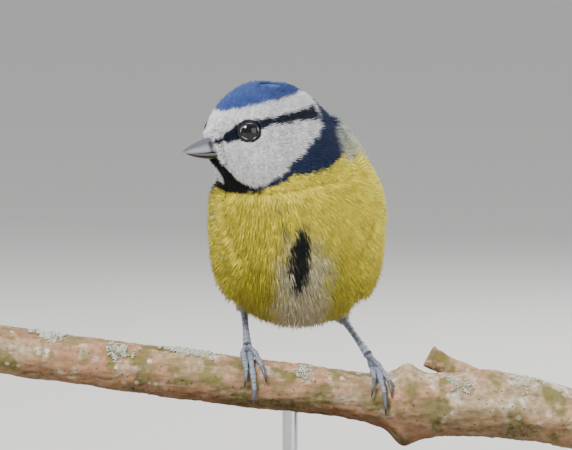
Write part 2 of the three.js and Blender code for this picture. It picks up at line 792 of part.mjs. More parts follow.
function meshOf(name, made, slot) {
  const { numProp, vertProperties, triVerts, numVert } = made.getMesh();
  const positions = new Float32Array(numVert * 3);
  for (let i = 0; i < numVert; i++) {
    positions.set(vertProperties.subarray(i * numProp, i * numProp + 3), i * 3);
  }
  const geometry = new THREE.BufferGeometry();
  geometry.setAttribute("position", new THREE.BufferAttribute(positions, 3));
  geometry.setIndex(new THREE.BufferAttribute(triVerts, 1));
  const mesh = new THREE.Mesh(geometry, FINISHES[slot]);
  mesh.name = name;
  return mesh;
}

function group(name, meshes) {
  const made = new THREE.Group();
  made.name = name;
  made.add(...meshes);
  return made;
}

// Takes a solid of the row's frame back into the bird's frame
function intoBird(made) {
  return made.translate([-BODY_PLACE[0], -BODY_PLACE[1], -BODY_PLACE[2]]).rotate([0, 0, -BODY_YAW]);
}

const legs = Object.entries(FEET).flatMap(([name, foot]) => legPieces(name, foot));
const thighRooms = legs.filter(([, , slot]) => slot === "room").map(([, made]) => intoBird(made));
const trunkSolid = largest(trunkRaw.subtract(joined(thighRooms)));
const clearOfTail = tailRoom();
const wings = { left: wingSolid(1), right: wingSolid(-1) };

const bird = group("bird", [
  meshOf("head", headSolid, "head"),
  meshOf("neck", neckSolid, "neck"),
  meshOf("torso", trunkSolid, "trunk"),
  meshOf("tail", tailSolid(), "tail"),
  meshOf("bill_upper", upperBill, "bill"),
  meshOf("bill_lower", lowerBill, "bill"),
  meshOf("eye_left", ball(EYE_RADIUS, eyes[0].middle), "eye"),
  meshOf("eye_right", ball(EYE_RADIUS, eyes[1].middle), "eye"),
  meshOf("wing_left", wings.left, "wing"),
  meshOf("wing_right", wings.right, "wing"),
]);
bird.position.set(...BODY_PLACE);
bird.rotation.z = rad(BODY_YAW);

const legMeshes = legs.filter(([, , slot]) => slot !== "room").map(([name, made, slot]) => meshOf(name, made, slot));
const feet = group("legs", legMeshes);
const perch = group("perch", [meshOf("perch_branch", branchSolid(), "bark")]);
const stand = group("stand", [
  meshOf("stand_base", standBase(), "base"),
  meshOf("stand_rod", standRod(), "rod"),
]);

export default group("blue_tit", [bird, feet, perch, stand]);
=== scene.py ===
"""The looks of a life-size blue tit that grips a cut length of branch on a plain display stand.

Lengths in this file are millimetres unless a name says otherwise, and points become metres when a mesh
is made. The row's frame has +Z up, the breast faces -Y and the branch runs along X. The bird's own frame
has x to its left, y to its tail and z up. The head's frame is forward, left and up.
"""

from __future__ import annotations

import itertools
import logging
import math
from dataclasses import dataclass, field, fields
from enum import Enum
from typing import Callable, Iterable, Sequence

import bpy
import numpy as np
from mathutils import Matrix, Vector

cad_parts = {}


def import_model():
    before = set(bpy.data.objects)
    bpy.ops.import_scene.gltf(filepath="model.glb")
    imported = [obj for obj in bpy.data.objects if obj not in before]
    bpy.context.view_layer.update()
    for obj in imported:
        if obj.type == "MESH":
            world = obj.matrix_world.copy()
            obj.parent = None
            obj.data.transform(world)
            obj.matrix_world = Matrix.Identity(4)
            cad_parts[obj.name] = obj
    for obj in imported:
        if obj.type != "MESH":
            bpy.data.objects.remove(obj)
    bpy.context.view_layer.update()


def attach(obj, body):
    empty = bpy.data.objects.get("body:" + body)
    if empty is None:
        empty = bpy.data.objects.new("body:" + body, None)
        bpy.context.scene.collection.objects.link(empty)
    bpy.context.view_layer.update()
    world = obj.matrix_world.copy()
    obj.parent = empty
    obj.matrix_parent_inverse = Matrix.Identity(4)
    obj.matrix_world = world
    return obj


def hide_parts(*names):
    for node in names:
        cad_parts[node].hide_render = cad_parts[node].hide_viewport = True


log = logging.getLogger("blue_tit")

MM = 0.001
SEED = 7
Array = np.ndarray
Colour = tuple[float, float, float]
Place = tuple[float, float, float]
Line = tuple[tuple[float, float], ...]
Rule = Callable[[Array], Array]
Object = bpy.types.Object
Material = bpy.types.Material
Socket = bpy.types.NodeSocket
Tufts = bpy.types.Collection


def unit(v: Array) -> Array:
    """Scales vectors to length 1.

    Args:
        v: Vectors along the last axis.

    Returns:
        The same directions with length 1.
    """
    return v / (np.linalg.norm(v, axis=-1, keepdims=True) + 1e-12)


def smooth(low: float, high: float, x: Array) -> Array:
    """Returns 0 below low, 1 above high and a soft step between; low may be the larger one."""
    t = np.clip((x - low) / (high - low), 0.0, 1.0)
    return t * t * (3.0 - 2.0 * t)


def mix(a: Array | Colour, b: Array | Colour, share: Array) -> Array:
    """Blends two colours, or two rows of colours, by a share for each row."""
    return np.asarray(a) * (1.0 - share[..., None]) + np.asarray(b) * share[..., None]


def read_line(line: Line, x: Array) -> Array:
    """Reads the second value of a line's points at places of the first."""
    points = np.array(line)
    return np.interp(x, points[:, 0], points[:, 1])


def side_name(side: int) -> str:
    """Names a side of the bird, where 1 is its left."""
    return "left" if side > 0 else "right"


def patch_at(k: int, cells: int) -> tuple[float, float, float, float]:
    """Returns the low and high corner of small square k of a UV square that has some cells to a row."""
    i, j = divmod(k, cells)
    return (j / cells, i / cells, (j + 0.94) / cells, (i + 0.94) / cells)


def hash_noise(p: Array, seed: int = 0) -> Array:
    """Smooth value noise in space.

    Args:
        p: Points, with one noise cell to the unit.
        seed: Chooses the pattern.

    Returns:
        A value between -1 and 1 for each point.
    """
    base = np.floor(p).astype(np.int64)
    f = p - base
    f = f * f * (3.0 - 2.0 * f)
    total = np.zeros(p.shape[:-1])
    for corner in itertools.product((0, 1), repeat=3):
        x, y, z = np.moveaxis(base + corner, -1, 0)
        key = x * 73856093 ^ y * 19349663 ^ z * 83492791 ^ (seed * 2654435761)
        key = (key ^ (key >> 13)) * 1274126177 & 0x7FFFFFFF
        value = ((key ^ (key >> 16)) & 0xFFFF) / 32767.5 - 1.0
        near = [f[..., k] if high else 1 - f[..., k] for k, high in enumerate(corner)]
        total += value * (near[0] * near[1] * near[2])
    return total


def layered_noise(p: Array, layers: int, seed: int = 0) -> Array:
    """Adds layers of noise, each twice as fine and half as strong as the last."""
    return sum(hash_noise(p * 2.0**k, seed + k) * 0.5**k for k in range(layers))


class Curve:
    """A smooth curve through points, with places along it by share of its length."""

    def __init__(self, points: Sequence[Sequence[float]], samples: int = 60) -> None:
        """Builds a centripetal curve.

        Args:
            points: The points that the curve passes through.
            samples: Steps between two neighbouring points.
        """
        p = np.asarray(points, float)
        p = np.vstack([2 * p[0] - p[1], p, 2 * p[-1] - p[-2]])
        made = []
        for i in range(1, len(p) - 2):
            knots = [0.0]
            for a, b in zip(p[i - 1 : i + 2], p[i : i + 3]):
                knots.append(knots[-1] + max(np.linalg.norm(b - a), 1e-6) ** 0.5)
            t = np.linspace(knots[1], knots[2], samples, endpoint=False)[:, None]
            a1 = self._between(p[i - 1], p[i], knots[0], knots[1], t)
            a2 = self._between(p[i], p[i + 1], knots[1], knots[2], t)
            a3 = self._between(p[i + 1], p[i + 2], knots[2], knots[3], t)
            b1 = self._between(a1, a2, knots[0], knots[2], t)
            b2 = self._between(a2, a3, knots[1], knots[3], t)
            made.append(self._between(b1, b2, knots[1], knots[2], t))
        self.points = np.vstack([*made, p[-2][None]])
        steps = np.linalg.norm(np.diff(self.points, axis=0), axis=1)
        self.shares = np.concatenate([[0.0], np.cumsum(steps)])
        self.length = float(self.shares[-1])
        self.shares /= self.length

    @staticmethod
    def _between(a: Array, b: Array, low: float, high: float, t: Array) -> Array:
        return (high - t) / (high - low) * a + (t - low) / (high - low) * b

    def at(self, share: Array | float) -> Array:
        """Returns the points at shares of the length."""
        s = np.asarray(share, float)
        return np.stack([np.interp(s, self.shares, self.points[:, k]) for k in range(3)], -1)

    def way(self, share: Array | float) -> Array:
        """Returns the unit directions at shares of the length."""
        s = np.asarray(share, float)
        return unit(self.at(np.clip(s + 0.004, 0, 1)) - self.at(np.clip(s - 0.004, 0, 1)))


@dataclass
class Surface:
    """Points, faces, a colour for each point and a UV pair for each point."""

    points: Array
    faces: Array
    tint: Array
    uv: Array

    @staticmethod
    def joined(parts: Iterable["Surface"]) -> "Surface":
        """Puts several surfaces in one."""
        points, faces, tint, uv, start = [], [], [], [], 0
        for part in parts:
            points.append(part.points)
            faces.append(part.faces + start)
            tint.append(part.tint)
            uv.append(part.uv)
            start += len(part.points)
        return Surface(np.vstack(points), np.vstack(faces), np.vstack(tint), np.vstack(uv))


def tube(loops: Array, tint: Array | Colour = (1, 1, 1), patch: Sequence[float] = (0, 0, 1, 1)) -> Surface:
    """Closes a row of loops to a solid with a fan at each end.

    Args:
        loops: Points in rings, as rings by sides by 3.
        tint: One colour, or a colour for each point of the rings.
        patch: Low and high corner of the surface's share of the UV square.

    Returns:
        A closed surface of triangles.
    """
    rings, sides = loops.shape[:2]
    start, end = loops[0].mean(0), loops[-1].mean(0)
    points = np.vstack([loops.reshape(-1, 3), start[None], end[None]])
    i, j = np.meshgrid(np.arange(rings - 1), np.arange(sides), indexing="ij")
    a = (i * sides + j).ravel()
    b = (i * sides + (j + 1) % sides).ravel()
    c, d = b + sides, a + sides
    k = np.arange(sides)
    first, last = rings * sides, rings * sides + 1
    tail = (rings - 1) * sides
    faces = np.vstack(
        [
            np.stack([a, b, c], 1),
            np.stack([a, c, d], 1),
            np.stack([np.full(sides, first), (k + 1) % sides, k], 1),
            np.stack([np.full(sides, last), tail + k, tail + (k + 1) % sides], 1),
        ]
    )
    colours = np.broadcast_to(np.asarray(tint, float), (rings, sides, 3)).reshape(-1, 3)
    colours = np.vstack([colours, colours[:sides].mean(0)[None], colours[-sides:].mean(0)[None]])
    u, v = np.meshgrid(np.linspace(0, 1, rings), np.arange(sides) / sides, indexing="ij")
    uv = np.vstack([np.stack([v.ravel(), u.ravel()], 1), [[0.5, 0.0], [0.5, 1.0]]])
    low, high = np.array(patch[:2]), np.array(patch[2:])
    return Surface(points, faces, colours, low + uv * (high - low))


def rod_loops(curve: Curve, radii: Array, sides: int) -> Array:
    """Rings round a curve.

    Args:
        curve: The middle line.
        radii: Radius at evenly spaced shares of the length.
        sides: Points in each ring.

    Returns:
        Rings by sides by 3 points.
    """
    shares = np.linspace(0, 1, len(radii))
    middle, way = curve.at(shares), curve.way(shares)
    up = np.array([0.0, 0.0, 1.0])
    if abs(way[:, 2]).min() > 0.9:
        up = np.array([0.0, 1.0, 0.0])
    across = np.empty_like(way)
    across[0] = unit(np.cross(way[0], up))
    for i in range(1, len(way)):
        carried = across[i - 1] - way[i] * (across[i - 1] @ way[i])
        across[i] = unit(carried)
    over = np.cross(across, way)
    a = np.arange(sides) / sides * 2 * math.pi
    ring = np.cos(a)[None, :, None] * across[:, None] + np.sin(a)[None, :, None] * over[:, None]
    return middle[:, None] + ring * np.asarray(radii)[:, None, None]


# Finishes


@dataclass(frozen=True)
class Palette:
    """The bird's colours, as linear red, green and blue."""

    cap: Colour = (0.08, 0.14, 0.4)
    cap_dark: Colour = (0.04, 0.075, 0.24)
    white: Colour = (0.9, 0.89, 0.9)
    cheek: Colour = (0.86, 0.85, 0.87)
    navy: Colour = (0.01, 0.015, 0.034)
    collar: Colour = (0.018, 0.032, 0.085)
    bib: Colour = (0.012, 0.012, 0.014)
    yellow: Colour = (0.82, 0.7, 0.075)
    # Olive of the lower flanks: partly the bird's own tone, partly painted shade
    olive_and_shade: Colour = (0.42, 0.37, 0.025)
    belly: Colour = (0.6, 0.55, 0.38)
    stripe: Colour = (0.012, 0.013, 0.016)
    grey_base: Colour = (0.2, 0.19, 0.12)
    mantle: Colour = (0.17, 0.2, 0.06)
    rump: Colour = (0.25, 0.3, 0.1)
    nape: Colour = (0.5, 0.51, 0.46)
    wing: Colour = (0.07, 0.15, 0.34)
    wing_dark: Colour = (0.03, 0.035, 0.05)
    wing_green: Colour = (0.16, 0.22, 0.12)
    tail: Colour = (0.06, 0.125, 0.28)


class Node:
    """Adds nodes to one tree and links them."""

    def __init__(self, tree: bpy.types.NodeTree) -> None:
        """Keeps the tree."""
        self.tree = tree

    def add(self, kind: str, settings: dict | None = None, **inputs: object) -> bpy.types.Node:
        """Adds a node.

        Args:
            kind: The node's type.
            settings: Values for the node's own properties.
            **inputs: Values or sockets for its inputs, by name with spaces as underscores.

        Returns:
            The new node.
        """
        made = self.tree.nodes.new(kind)
        for name, value in (settings or {}).items():
            setattr(made, name, value)
        for name, value in inputs.items():
            key = int(name[1:]) if name[0] == "_" else name.replace("_", " ")
            self.fill(made.inputs[key], value)
        return made

    def fill(self, socket: Socket, value: object) -> None:
        """Links a socket to another one, or sets its value."""
        if isinstance(value, Socket):
            self.tree.links.new(value, socket)
        else:
            socket.default_value = value

    def place(self) -> Socket:
        """Returns places on the object, in metres."""
        return self.add("ShaderNodeTexCoord").outputs["Object"]

    def stretched(self, place: Socket, scale: Place) -> Socket:
        """Returns places scaled along each axis."""
        return self.add("ShaderNodeMapping", Vector=place, Scale=scale).outputs["Vector"]

    def tint(self) -> Socket:
        """Returns the colour that the mesh carries."""
        return self.add("ShaderNodeAttribute", {"attribute_name": "Tint"}).outputs["Color"]

    def noise(self, scale: float, detail: float, place: object = None) -> Socket:
        """Returns a noise on the object's own places, or on others."""
        made = self.add("ShaderNodeTexNoise", Vector=place or self.place(), Scale=scale, Detail=detail)
        return made.outputs["Fac"]

    def ramp(self, value: object, low: float, high: float) -> Socket:
        """Returns a soft step of a value, from 0 at low to 1 at high."""
        settings = {"interpolation_type": "SMOOTHSTEP"}
        made = self.add("ShaderNodeMapRange", settings, Value=value, From_Min=low, From_Max=high)
        return made.outputs["Result"]

    def reckon(self, operation: str, *values: object) -> Socket:
        """Returns the result of one step of arithmetic."""
        inputs = {f"_{k}": value for k, value in enumerate(values)}
        return self.add("ShaderNodeMath", {"operation": operation}, **inputs).outputs[0]

    def blend(self, fac: object, a: object, b: object, mode: str = "MIX") -> Socket:
        """Blends two colours by a share."""
        made = self.add("ShaderNodeMix", {"data_type": "RGBA", "blend_type": mode})
        for key, value in ((0, fac), (6, a), (7, b)):
            self.fill(made.inputs[key], (*value, 1.0) if isinstance(value, tuple) else value)
        return made.outputs[2]

    def shaded(self, colour: object, value: object, low: float, high: float) -> Socket:
        """Returns a colour times a value that is stretched to run from low to high."""
        shade = self.add("ShaderNodeMapRange", Value=value, To_Min=low, To_Max=high).outputs[0]
        grey = self.add("ShaderNodeCombineColor", Red=shade, Green=shade, Blue=shade)
        return self.blend(1.0, colour, grey.outputs[0], "MULTIPLY")

    def show(self, shader: bpy.types.Node, colour: Socket) -> None:
        """Links a colour to the shader."""
        self.tree.links.new(colour, shader.inputs["Base Color"])

    def bump(self, shader: bpy.types.Node, height: object, strength: float, depth: float) -> None:
        """Links a bump of a depth in metres to the shader's normal."""
        made = self.add("ShaderNodeBump", Height=height, Strength=strength, Distance=depth)
        self.tree.links.new(made.outputs["Normal"], shader.inputs["Normal"])


@dataclass
class Finish:
    """A procedural material. Each kind of surface overrides paint()."""

    name: str
    roughness: float = 0.6
    specular: float = 0.4
    sheen: float = 0.0
    coat: float = 0.0
    metallic: float = 0.0

    def make(self) -> Material:
        """Builds the material and returns it."""
        material = bpy.data.materials.new(self.name)
        material.use_nodes = True
        tree = material.node_tree
        tree.nodes.clear()
        node = Node(tree)
        shader = node.add("ShaderNodeBsdfPrincipled")
        shader.inputs["Roughness"].default_value = self.roughness
        shader.inputs["Specular IOR Level"].default_value = self.specular
        shader.inputs["Sheen Weight"].default_value = self.sheen
        shader.inputs["Sheen Roughness"].default_value = 0.4
        shader.inputs["Coat Weight"].default_value = self.coat
        shader.inputs["Coat Roughness"].default_value = 0.04
        shader.inputs["Metallic"].default_value = self.metallic
        output = node.add("ShaderNodeOutputMaterial", Surface=shader.outputs["BSDF"])
        output.is_active_output = True
        self.paint(node, shader)
        return material

    def paint(self, node: Node, shader: bpy.types.Node) -> None:
        """Links the colour, roughness and bump."""


@dataclass
class TintFinish(Finish):
    """A surface that takes its colour from the mesh, with a little variation."""

    grain: float = 900.0
    variation: float = 0.25
    depth: float = 0.0

    def paint(self, node: Node, shader: bpy.types.Node) -> None:
        """Links the mesh's colour with noise over it."""
        grain = node.noise(self.grain, 3.0)
        low, high = 1.0 - self.variation, 1.0 + self.variation
        node.show(shader, node.shaded(node.tint(), grain, low, high))
        if self.depth:
            node.bump(shader, grain, 0.6, self.depth)


@dataclass
class VaneFinish(Finish):
    """A quill's vane: the mesh's colour with the fine slanted lines of the barbs."""

    barbs: float = 34.0
    slant: float = 0.9
    relief: float = 0.00004

    def paint(self, node: Node, shader: bpy.types.Node) -> None:
        """Links the mesh's colour, with barbs drawn on each vane's own map."""
        own = node.add("ShaderNodeUVMap", {"uv_map": "Vane"}).outputs["UV"]
        split = node.add("ShaderNodeSeparateXYZ", Vector=own)
        side = node.reckon("ABSOLUTE", split.outputs["X"])
        slanted = node.reckon("MULTIPLY_ADD", side, -self.slant, split.outputs["Y"])
        wave = node.reckon("SINE", node.reckon("MULTIPLY", slanted, self.barbs))
        fine = node.noise(1400.0, 2.0)
        height = node.reckon("MULTIPLY_ADD", wave, 0.35, fine)
        node.show(shader, node.shaded(node.tint(), height, 0.78, 1.18))
        node.bump(shader, height, 0.35, self.relief)


@dataclass
class ScaleFinish(Finish):
    """The horny skin of the legs and toes: the mesh's colour with fine wrinkles between the scales."""

    cells: float = 2600.0
    wrinkle: Colour = (0.35, 0.36, 0.4)
    relief: float = 0.00005

    def paint(self, node: Node, shader: bpy.types.Node) -> None:
        """Links the mesh's colour, with small cells as pale and dark scales."""
        place = node.place()
        settings = {"feature": "DISTANCE_TO_EDGE"}
        cells = node.add("ShaderNodeTexVoronoi", settings, Vector=place, Scale=self.cells)
        edge = node.ramp(cells.outputs["Distance"], 0.0, 0.12)
        colour = node.blend(edge, self.wrinkle, (1.0, 1.0, 1.0))
        node.show(shader, node.blend(1.0, node.tint(), colour, "MULTIPLY"))
        node.bump(shader, edge, 0.5, self.relief)


@dataclass
class BarkFinish(Finish):
    """Thin weathered bark with flesh-coloured patches, green algae, pale lichen and dark pores."""

    straw: Colour = (0.5, 0.39, 0.24)
    flesh: Colour = (0.52, 0.27, 0.16)
    bleached: Colour = (0.74, 0.66, 0.54)
    streak: Colour = (0.3, 0.2, 0.1)
    algae: Colour = (0.2, 0.18, 0.05)
    lichen: Colour = (0.74, 0.74, 0.66)
    pore: Colour = (0.06, 0.04, 0.02)
    dirt: Colour = (0.2, 0.15, 0.09)
    stretch: Place = (0.35, 1.0, 1.0)
    relief: float = 0.0007

    @staticmethod
    def layer(node: Node, place: Socket, scale: float, detail: float, low: float, high: float) -> Socket:
        """Returns a noise with soft edges, as the share of one layer of colour."""
        return node.ramp(node.noise(scale, detail, place), low, high)

    @staticmethod
    def spots(node: Node, place: Socket, scale: float, low: float, high: float) -> Socket:
        """Returns small round spots, as the share of one layer of colour."""
        cells = node.add("ShaderNodeTexVoronoi", Vector=place, Scale=scale)
        return node.ramp(cells.outputs["Distance"], low, high)

    def paint(self, node: Node, shader: bpy.types.Node) -> None:
        """Links layers of colour over the mesh's own shading."""
        place = node.place()
        long = node.stretched(place, self.stretch)
        colour = node.blend(self.layer(node, long, 95.0, 5.0, 0.44, 0.6), self.straw, self.flesh)
        layers = (
            (place, 240.0, 6.0, 0.52, 0.68, self.bleached),
            (long, 420.0, 5.0, 0.5, 0.66, self.streak),
            (place, 170.0, 6.0, 0.5, 0.62, self.algae),
        )
        for *noise, over in layers:
            colour = node.blend(self.layer(node, *noise), colour, over)
        where = self.layer(node, place, 60.0, 2.0, 0.5, 0.62)
        crusts = node.reckon("MULTIPLY", self.spots(node, place, 330.0, 0.24, 0.14), where)
        colour = node.blend(crusts, colour, self.lichen)
        colour = node.blend(self.spots(node, place, 620.0, 0.16, 0.08), colour, self.pore)
        # The mesh's tint carries painted shade on the branch's underside and in its hollows
        colour = node.blend(1.0, colour, node.tint(), "MULTIPLY")
        fine = self.layer(node, place, 900.0, 6.0, 0.42, 0.6)
        node.show(shader, node.blend(fine, node.blend(0.5, colour, self.dirt), colour))
        rough = node.noise(500.0, 9.0, long)
        node.bump(shader, rough, 1.0, self.relief)


@dataclass
class WoodFinish(Finish):
    """Dark stained hardwood with growth lines along X."""

    dark: Colour = (0.05, 0.022, 0.01)
    pale: Colour = (0.19, 0.092, 0.042)
    stretch: Place = (0.12, 1.0, 1.0)
    relief: float = 0.00005

    def paint(self, node: Node, shader: bpy.types.Node) -> None:
        """Links a stretched noise as grain."""
        grain = node.noise(260.0, 6.0, node.stretched(node.place(), self.stretch))
        node.show(shader, node.blend(node.ramp(grain, 0.3, 0.7), self.dark, self.pale))
        node.bump(shader, grain, 0.15, self.relief)


@dataclass
class SteelFinish(Finish):
    """Brushed steel."""

    colour: Colour = (0.56, 0.56, 0.57)
    relief: float = 0.00001

    def paint(self, node: Node, shader: bpy.types.Node) -> None:
        """Sets the colour and links fine brush marks as a bump."""
        shader.inputs["Base Color"].default_value = (*self.colour, 1.0)
        marks = node.noise(1500.0, 2.0)
        node.bump(shader, marks, 0.2, self.relief)


@dataclass
class PlainFinish(Finish):
    """One flat colour."""

    colour: Colour = (0.8, 0.8, 0.8)

    def paint(self, node: Node, shader: bpy.types.Node) -> None:
        """Sets the colour."""
        shader.inputs["Base Color"].default_value = (*self.colour, 1.0)


# Meshes


def make_object(name: str, surface: Surface, material: Material, shade_smooth: bool = True) -> Object:
    """Makes a mesh object at the origin, with its place in its vertices.

    Args:
        name: The object's name.
        surface: The form in the row's frame.
        material: What it is made of.
        shade_smooth: Whether its faces are shaded as one curved surface.

    Returns:
        The linked object.
    """
    mesh = bpy.data.meshes.new(name)
    count = len(surface.faces)
    mesh.vertices.add(len(surface.points))
    mesh.vertices.foreach_set("co", (surface.points * MM).astype(np.float32).ravel())
    mesh.loops.add(count * 3)
    mesh.loops.foreach_set("vertex_index", surface.faces.astype(np.int32).ravel())
    mesh.polygons.add(count)
    mesh.polygons.foreach_set("loop_start", np.arange(0, count * 3, 3, dtype=np.int32))
    mesh.polygons.foreach_set("loop_total", np.full(count, 3, np.int32))
    mesh.update(calc_edges=True)
    mesh.validate()
    paint(mesh, "Tint", surface.tint)
    layer = mesh.uv_layers.new(name="OFBake")
    layer.data.foreach_set("uv", surface.uv[surface.faces.ravel()].astype(np.float32).ravel())
    mesh.materials.append(material)
    mesh.polygons.foreach_set("use_smooth", np.full(count, shade_smooth))
    made = bpy.data.objects.new(name, mesh)
    bpy.context.scene.collection.objects.link(made)
    return made


def paint(mesh: bpy.types.Mesh, name: str, colours: Array) -> None:
    """Stores a colour for each vertex."""
    layer = mesh.color_attributes.new(name=name, type="FLOAT_COLOR", domain="POINT")
    rgba = np.ones((len(colours), 4), np.float32)
    rgba[:, :3] = np.clip(colours, 0.0, 1.0)
    layer.data.foreach_set("color", rgba.ravel())


def place_part(made: Object, slot: str, *nodes: str) -> Object:
    """Ties a piece to the frame and hides the nodes it stands for."""
    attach(made, "root")
    if nodes:
        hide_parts(*nodes)
    return made


# The body's form


@dataclass(frozen=True)
class Blob:
    """One rounded form: its centre, its radii and the angle by which its rear end drops."""

    at: Place
    radii: Place
    drop: float = 0.0


@dataclass(frozen=True)
class Body:
    """The bird's body as rounded forms that run softly into each other."""

    place: Place = (1.4, 3.0, 70.0)
    yaw: float = 4.0
    blend: float = 1.6
    head_place: Place = (-8.2, -7.0, 22.2)
    head_turn: float = 62.0
    head_dip: float = 8.0
    trunk: tuple[Blob, ...] = (
        Blob((0, -3.6, 5.0), (18.5, 13.8, 15.0)),
        Blob((0, -1.5, -4.6), (17.6, 14.2, 15.9)),
        Blob((0, 13.0, 1.6), (12.0, 19.0, 12.0), 16),
        Blob((0, 27.0, -6.0), (6.2, 11.0, 4.8), 12),
        Blob((1.0, 5.5, 12.0), (13.8, 13.5, 11.5)),
        Blob((-1.4, -1.5, 15.8), (14.2, 12.8, 10.8)),
    )
    head: tuple[Blob, ...] = (
        Blob((-1.0, 0, 0.7), (11.8, 10.0, 10.7)),
        Blob((4.8, 0, -0.5), (8.2, 7.6, 8.1)),
        Blob((0.5, 4.6, -4.6), (8.3, 5.6, 6.4)),
        Blob((0.5, -4.6, -4.6), (8.3, 5.6, 6.4)),
        Blob((-8.2, 0, -3.3), (8.2, 10.0, 9.9)),
    )
    quill_beds: tuple[Blob, ...] = (
        Blob((3.8, 30, 0.6), (4.6, 28.0, 5.4), 9),
        Blob((-3.8, 30, 0.6), (4.6, 28.0, 5.4), 9),
    )

    @property
    def head_axes(self) -> Array:
        """Forward, left and up of the head, as rows in the bird's frame."""
        a, d = math.radians(self.head_turn), math.radians(self.head_dip)
        flat = np.array([-math.sin(a), -math.cos(a), 0.0])
        left = np.array([math.cos(a), -math.sin(a), 0.0])
        forward = flat * math.cos(d) - np.array([0, 0, math.sin(d)])
        return np.array([forward, left, np.cross(forward, left)])

    def into_head(self, p: Array) -> Array:
        """Takes points of the bird's frame into the head's frame."""
        return (p - np.array(self.head_place)) @ self.head_axes.T

    def from_head(self, p: Array) -> Array:
        """Takes points of the head's frame into the bird's frame."""
        return np.asarray(p, float) @ self.head_axes + np.array(self.head_place)

    def turn(self, v: Array) -> Array:
        """Turns directions of the bird's frame into the row's frame."""
        c, s = math.cos(math.radians(self.yaw)), math.sin(math.radians(self.yaw))
        x, y = v[..., 0], v[..., 1]
        return np.stack([x * c - y * s, x * s + y * c, v[..., 2]], -1)

    def to_row(self, p: Array) -> Array:
        """Takes points of the bird's frame into the row's frame."""
        return self.turn(p) + np.array(self.place)

    @staticmethod
    def _distance(p: Array, blob: Blob) -> Array:
        q = p - np.array(blob.at, float)
        if blob.drop:
            c, s = math.cos(math.radians(blob.drop)), math.sin(math.radians(blob.drop))
            q = np.stack([q[..., 0], q[..., 1] * c - q[..., 2] * s, q[..., 1] * s + q[..., 2] * c], -1)
        radii = np.array(blob.radii, float)
        near = np.linalg.norm(q / radii, axis=-1)
        slope = np.linalg.norm(q / radii**2, axis=-1) + 1e-9
        return near * (near - 1.0) / slope

    def _softest(self, distances: list[Array]) -> Array:
        d = np.stack(distances)
        least = d.min(0)
        return least - self.blend * np.log(np.exp(-(d - least) / self.blend).sum(0))

    def distance(self, p: Array) -> Array:
        """Returns the distance of points of the bird's frame to the body's outside, less than 0 within."""
        q = self.into_head(p)
        trunk = [self._distance(p, blob) for blob in self.trunk]
        return self._softest(trunk + [self._distance(q, blob) for blob in self.head])

    def wing_distance(self, p: Array) -> Array:
        """Returns the distance to the form that the folded wings lie on."""
        return self._softest([self._distance(p, b) for b in (*self.trunk, *self.quill_beds)])

    def normal(self, p: Array) -> Array:
        """Returns the outward direction of the body's surface near points."""
        h = 0.05
        grads = []
        for k in range(3):
            step = np.zeros(3)
            step[k] = h
            grads.append(self.distance(p + step) - self.distance(p - step))
        return unit(np.stack(grads, -1))


def reach(distance: Rule, start: Array, way: Array, level: Array | float = 0.0) -> Array:
    """Finds how far along rays a distance function reaches a level.

    Args:
        distance: The distance function, which grows outwards.
        start: Points inside the form.
        way: Unit directions.
        level: The wanted distance, alike for all rays or one for each.

    Returns:
        The length of each ray.
    """
    steps, stride, least = 60, 0.7, 0.05
    r = np.full(start.shape[:-1], 1.0)
    for _ in range(steps):
        r = np.maximum(r - stride * (distance(start + way * r[..., None]) - level), least)
    return r


@dataclass(frozen=True)
class Unwrap:
    """Rings round the body in planes that fan out from a line behind the nape."""

    body: Body
    fan_line: Place = (0.0, 52.0, 44.0)
    crown_depth: float = 0.8
    crowding: float = 1.25
    spine: tuple[Place, ...] = (
        (0, 36.5, -8.8),
        (0, 28, -6),
        (0, 18, -2),
        (0, 7, 1),
        (-1, 1, 6),
        (-4, -3, 12),
        (-7, -6, 18.5),
        (-8.4, -6.5, 25),
        (-8.7, -6, 32.6),
    )

    def grid(self, rings: int, sides: int, depth: Rule) -> Array:
        """Places rings of points below the body's outside.

        Args:
            rings: Rings from the tail's root to the crown.
            sides: Points in a ring.
            depth: Gives how far below the outside each point lies, from its place.

        Returns:
            Rings by sides by 3 points in the bird's frame.
        """
        low, high = np.array(self.spine[-2:])
        crown = reach(self.body.distance, high[None], unit(high - low)[None], -self.crown_depth)[0]
        line = Curve([*self.spine, high + unit(high - low) * crown])
        t = 1 - (1 - (np.arange(rings) + 0.5) / rings) ** self.crowding
        middle = line.at(t)
        out = (middle - np.array(self.fan_line)) * np.array([0.0, 1.0, 1.0])
        out = unit(out)
        a = np.arange(sides) / sides * 2 * math.pi
        way = np.cos(a)[None, :, None] * np.array([1.0, 0, 0]) + np.sin(a)[None, :, None] * out[:, None]
        start = np.broadcast_to(middle[:, None], way.shape)
        r = reach(self.body.distance, start, way)
        surface = start + way * r[..., None]
        r = reach(self.body.distance, start, way, -depth(surface))
        return start + way * r[..., None]


# The plumage's markings


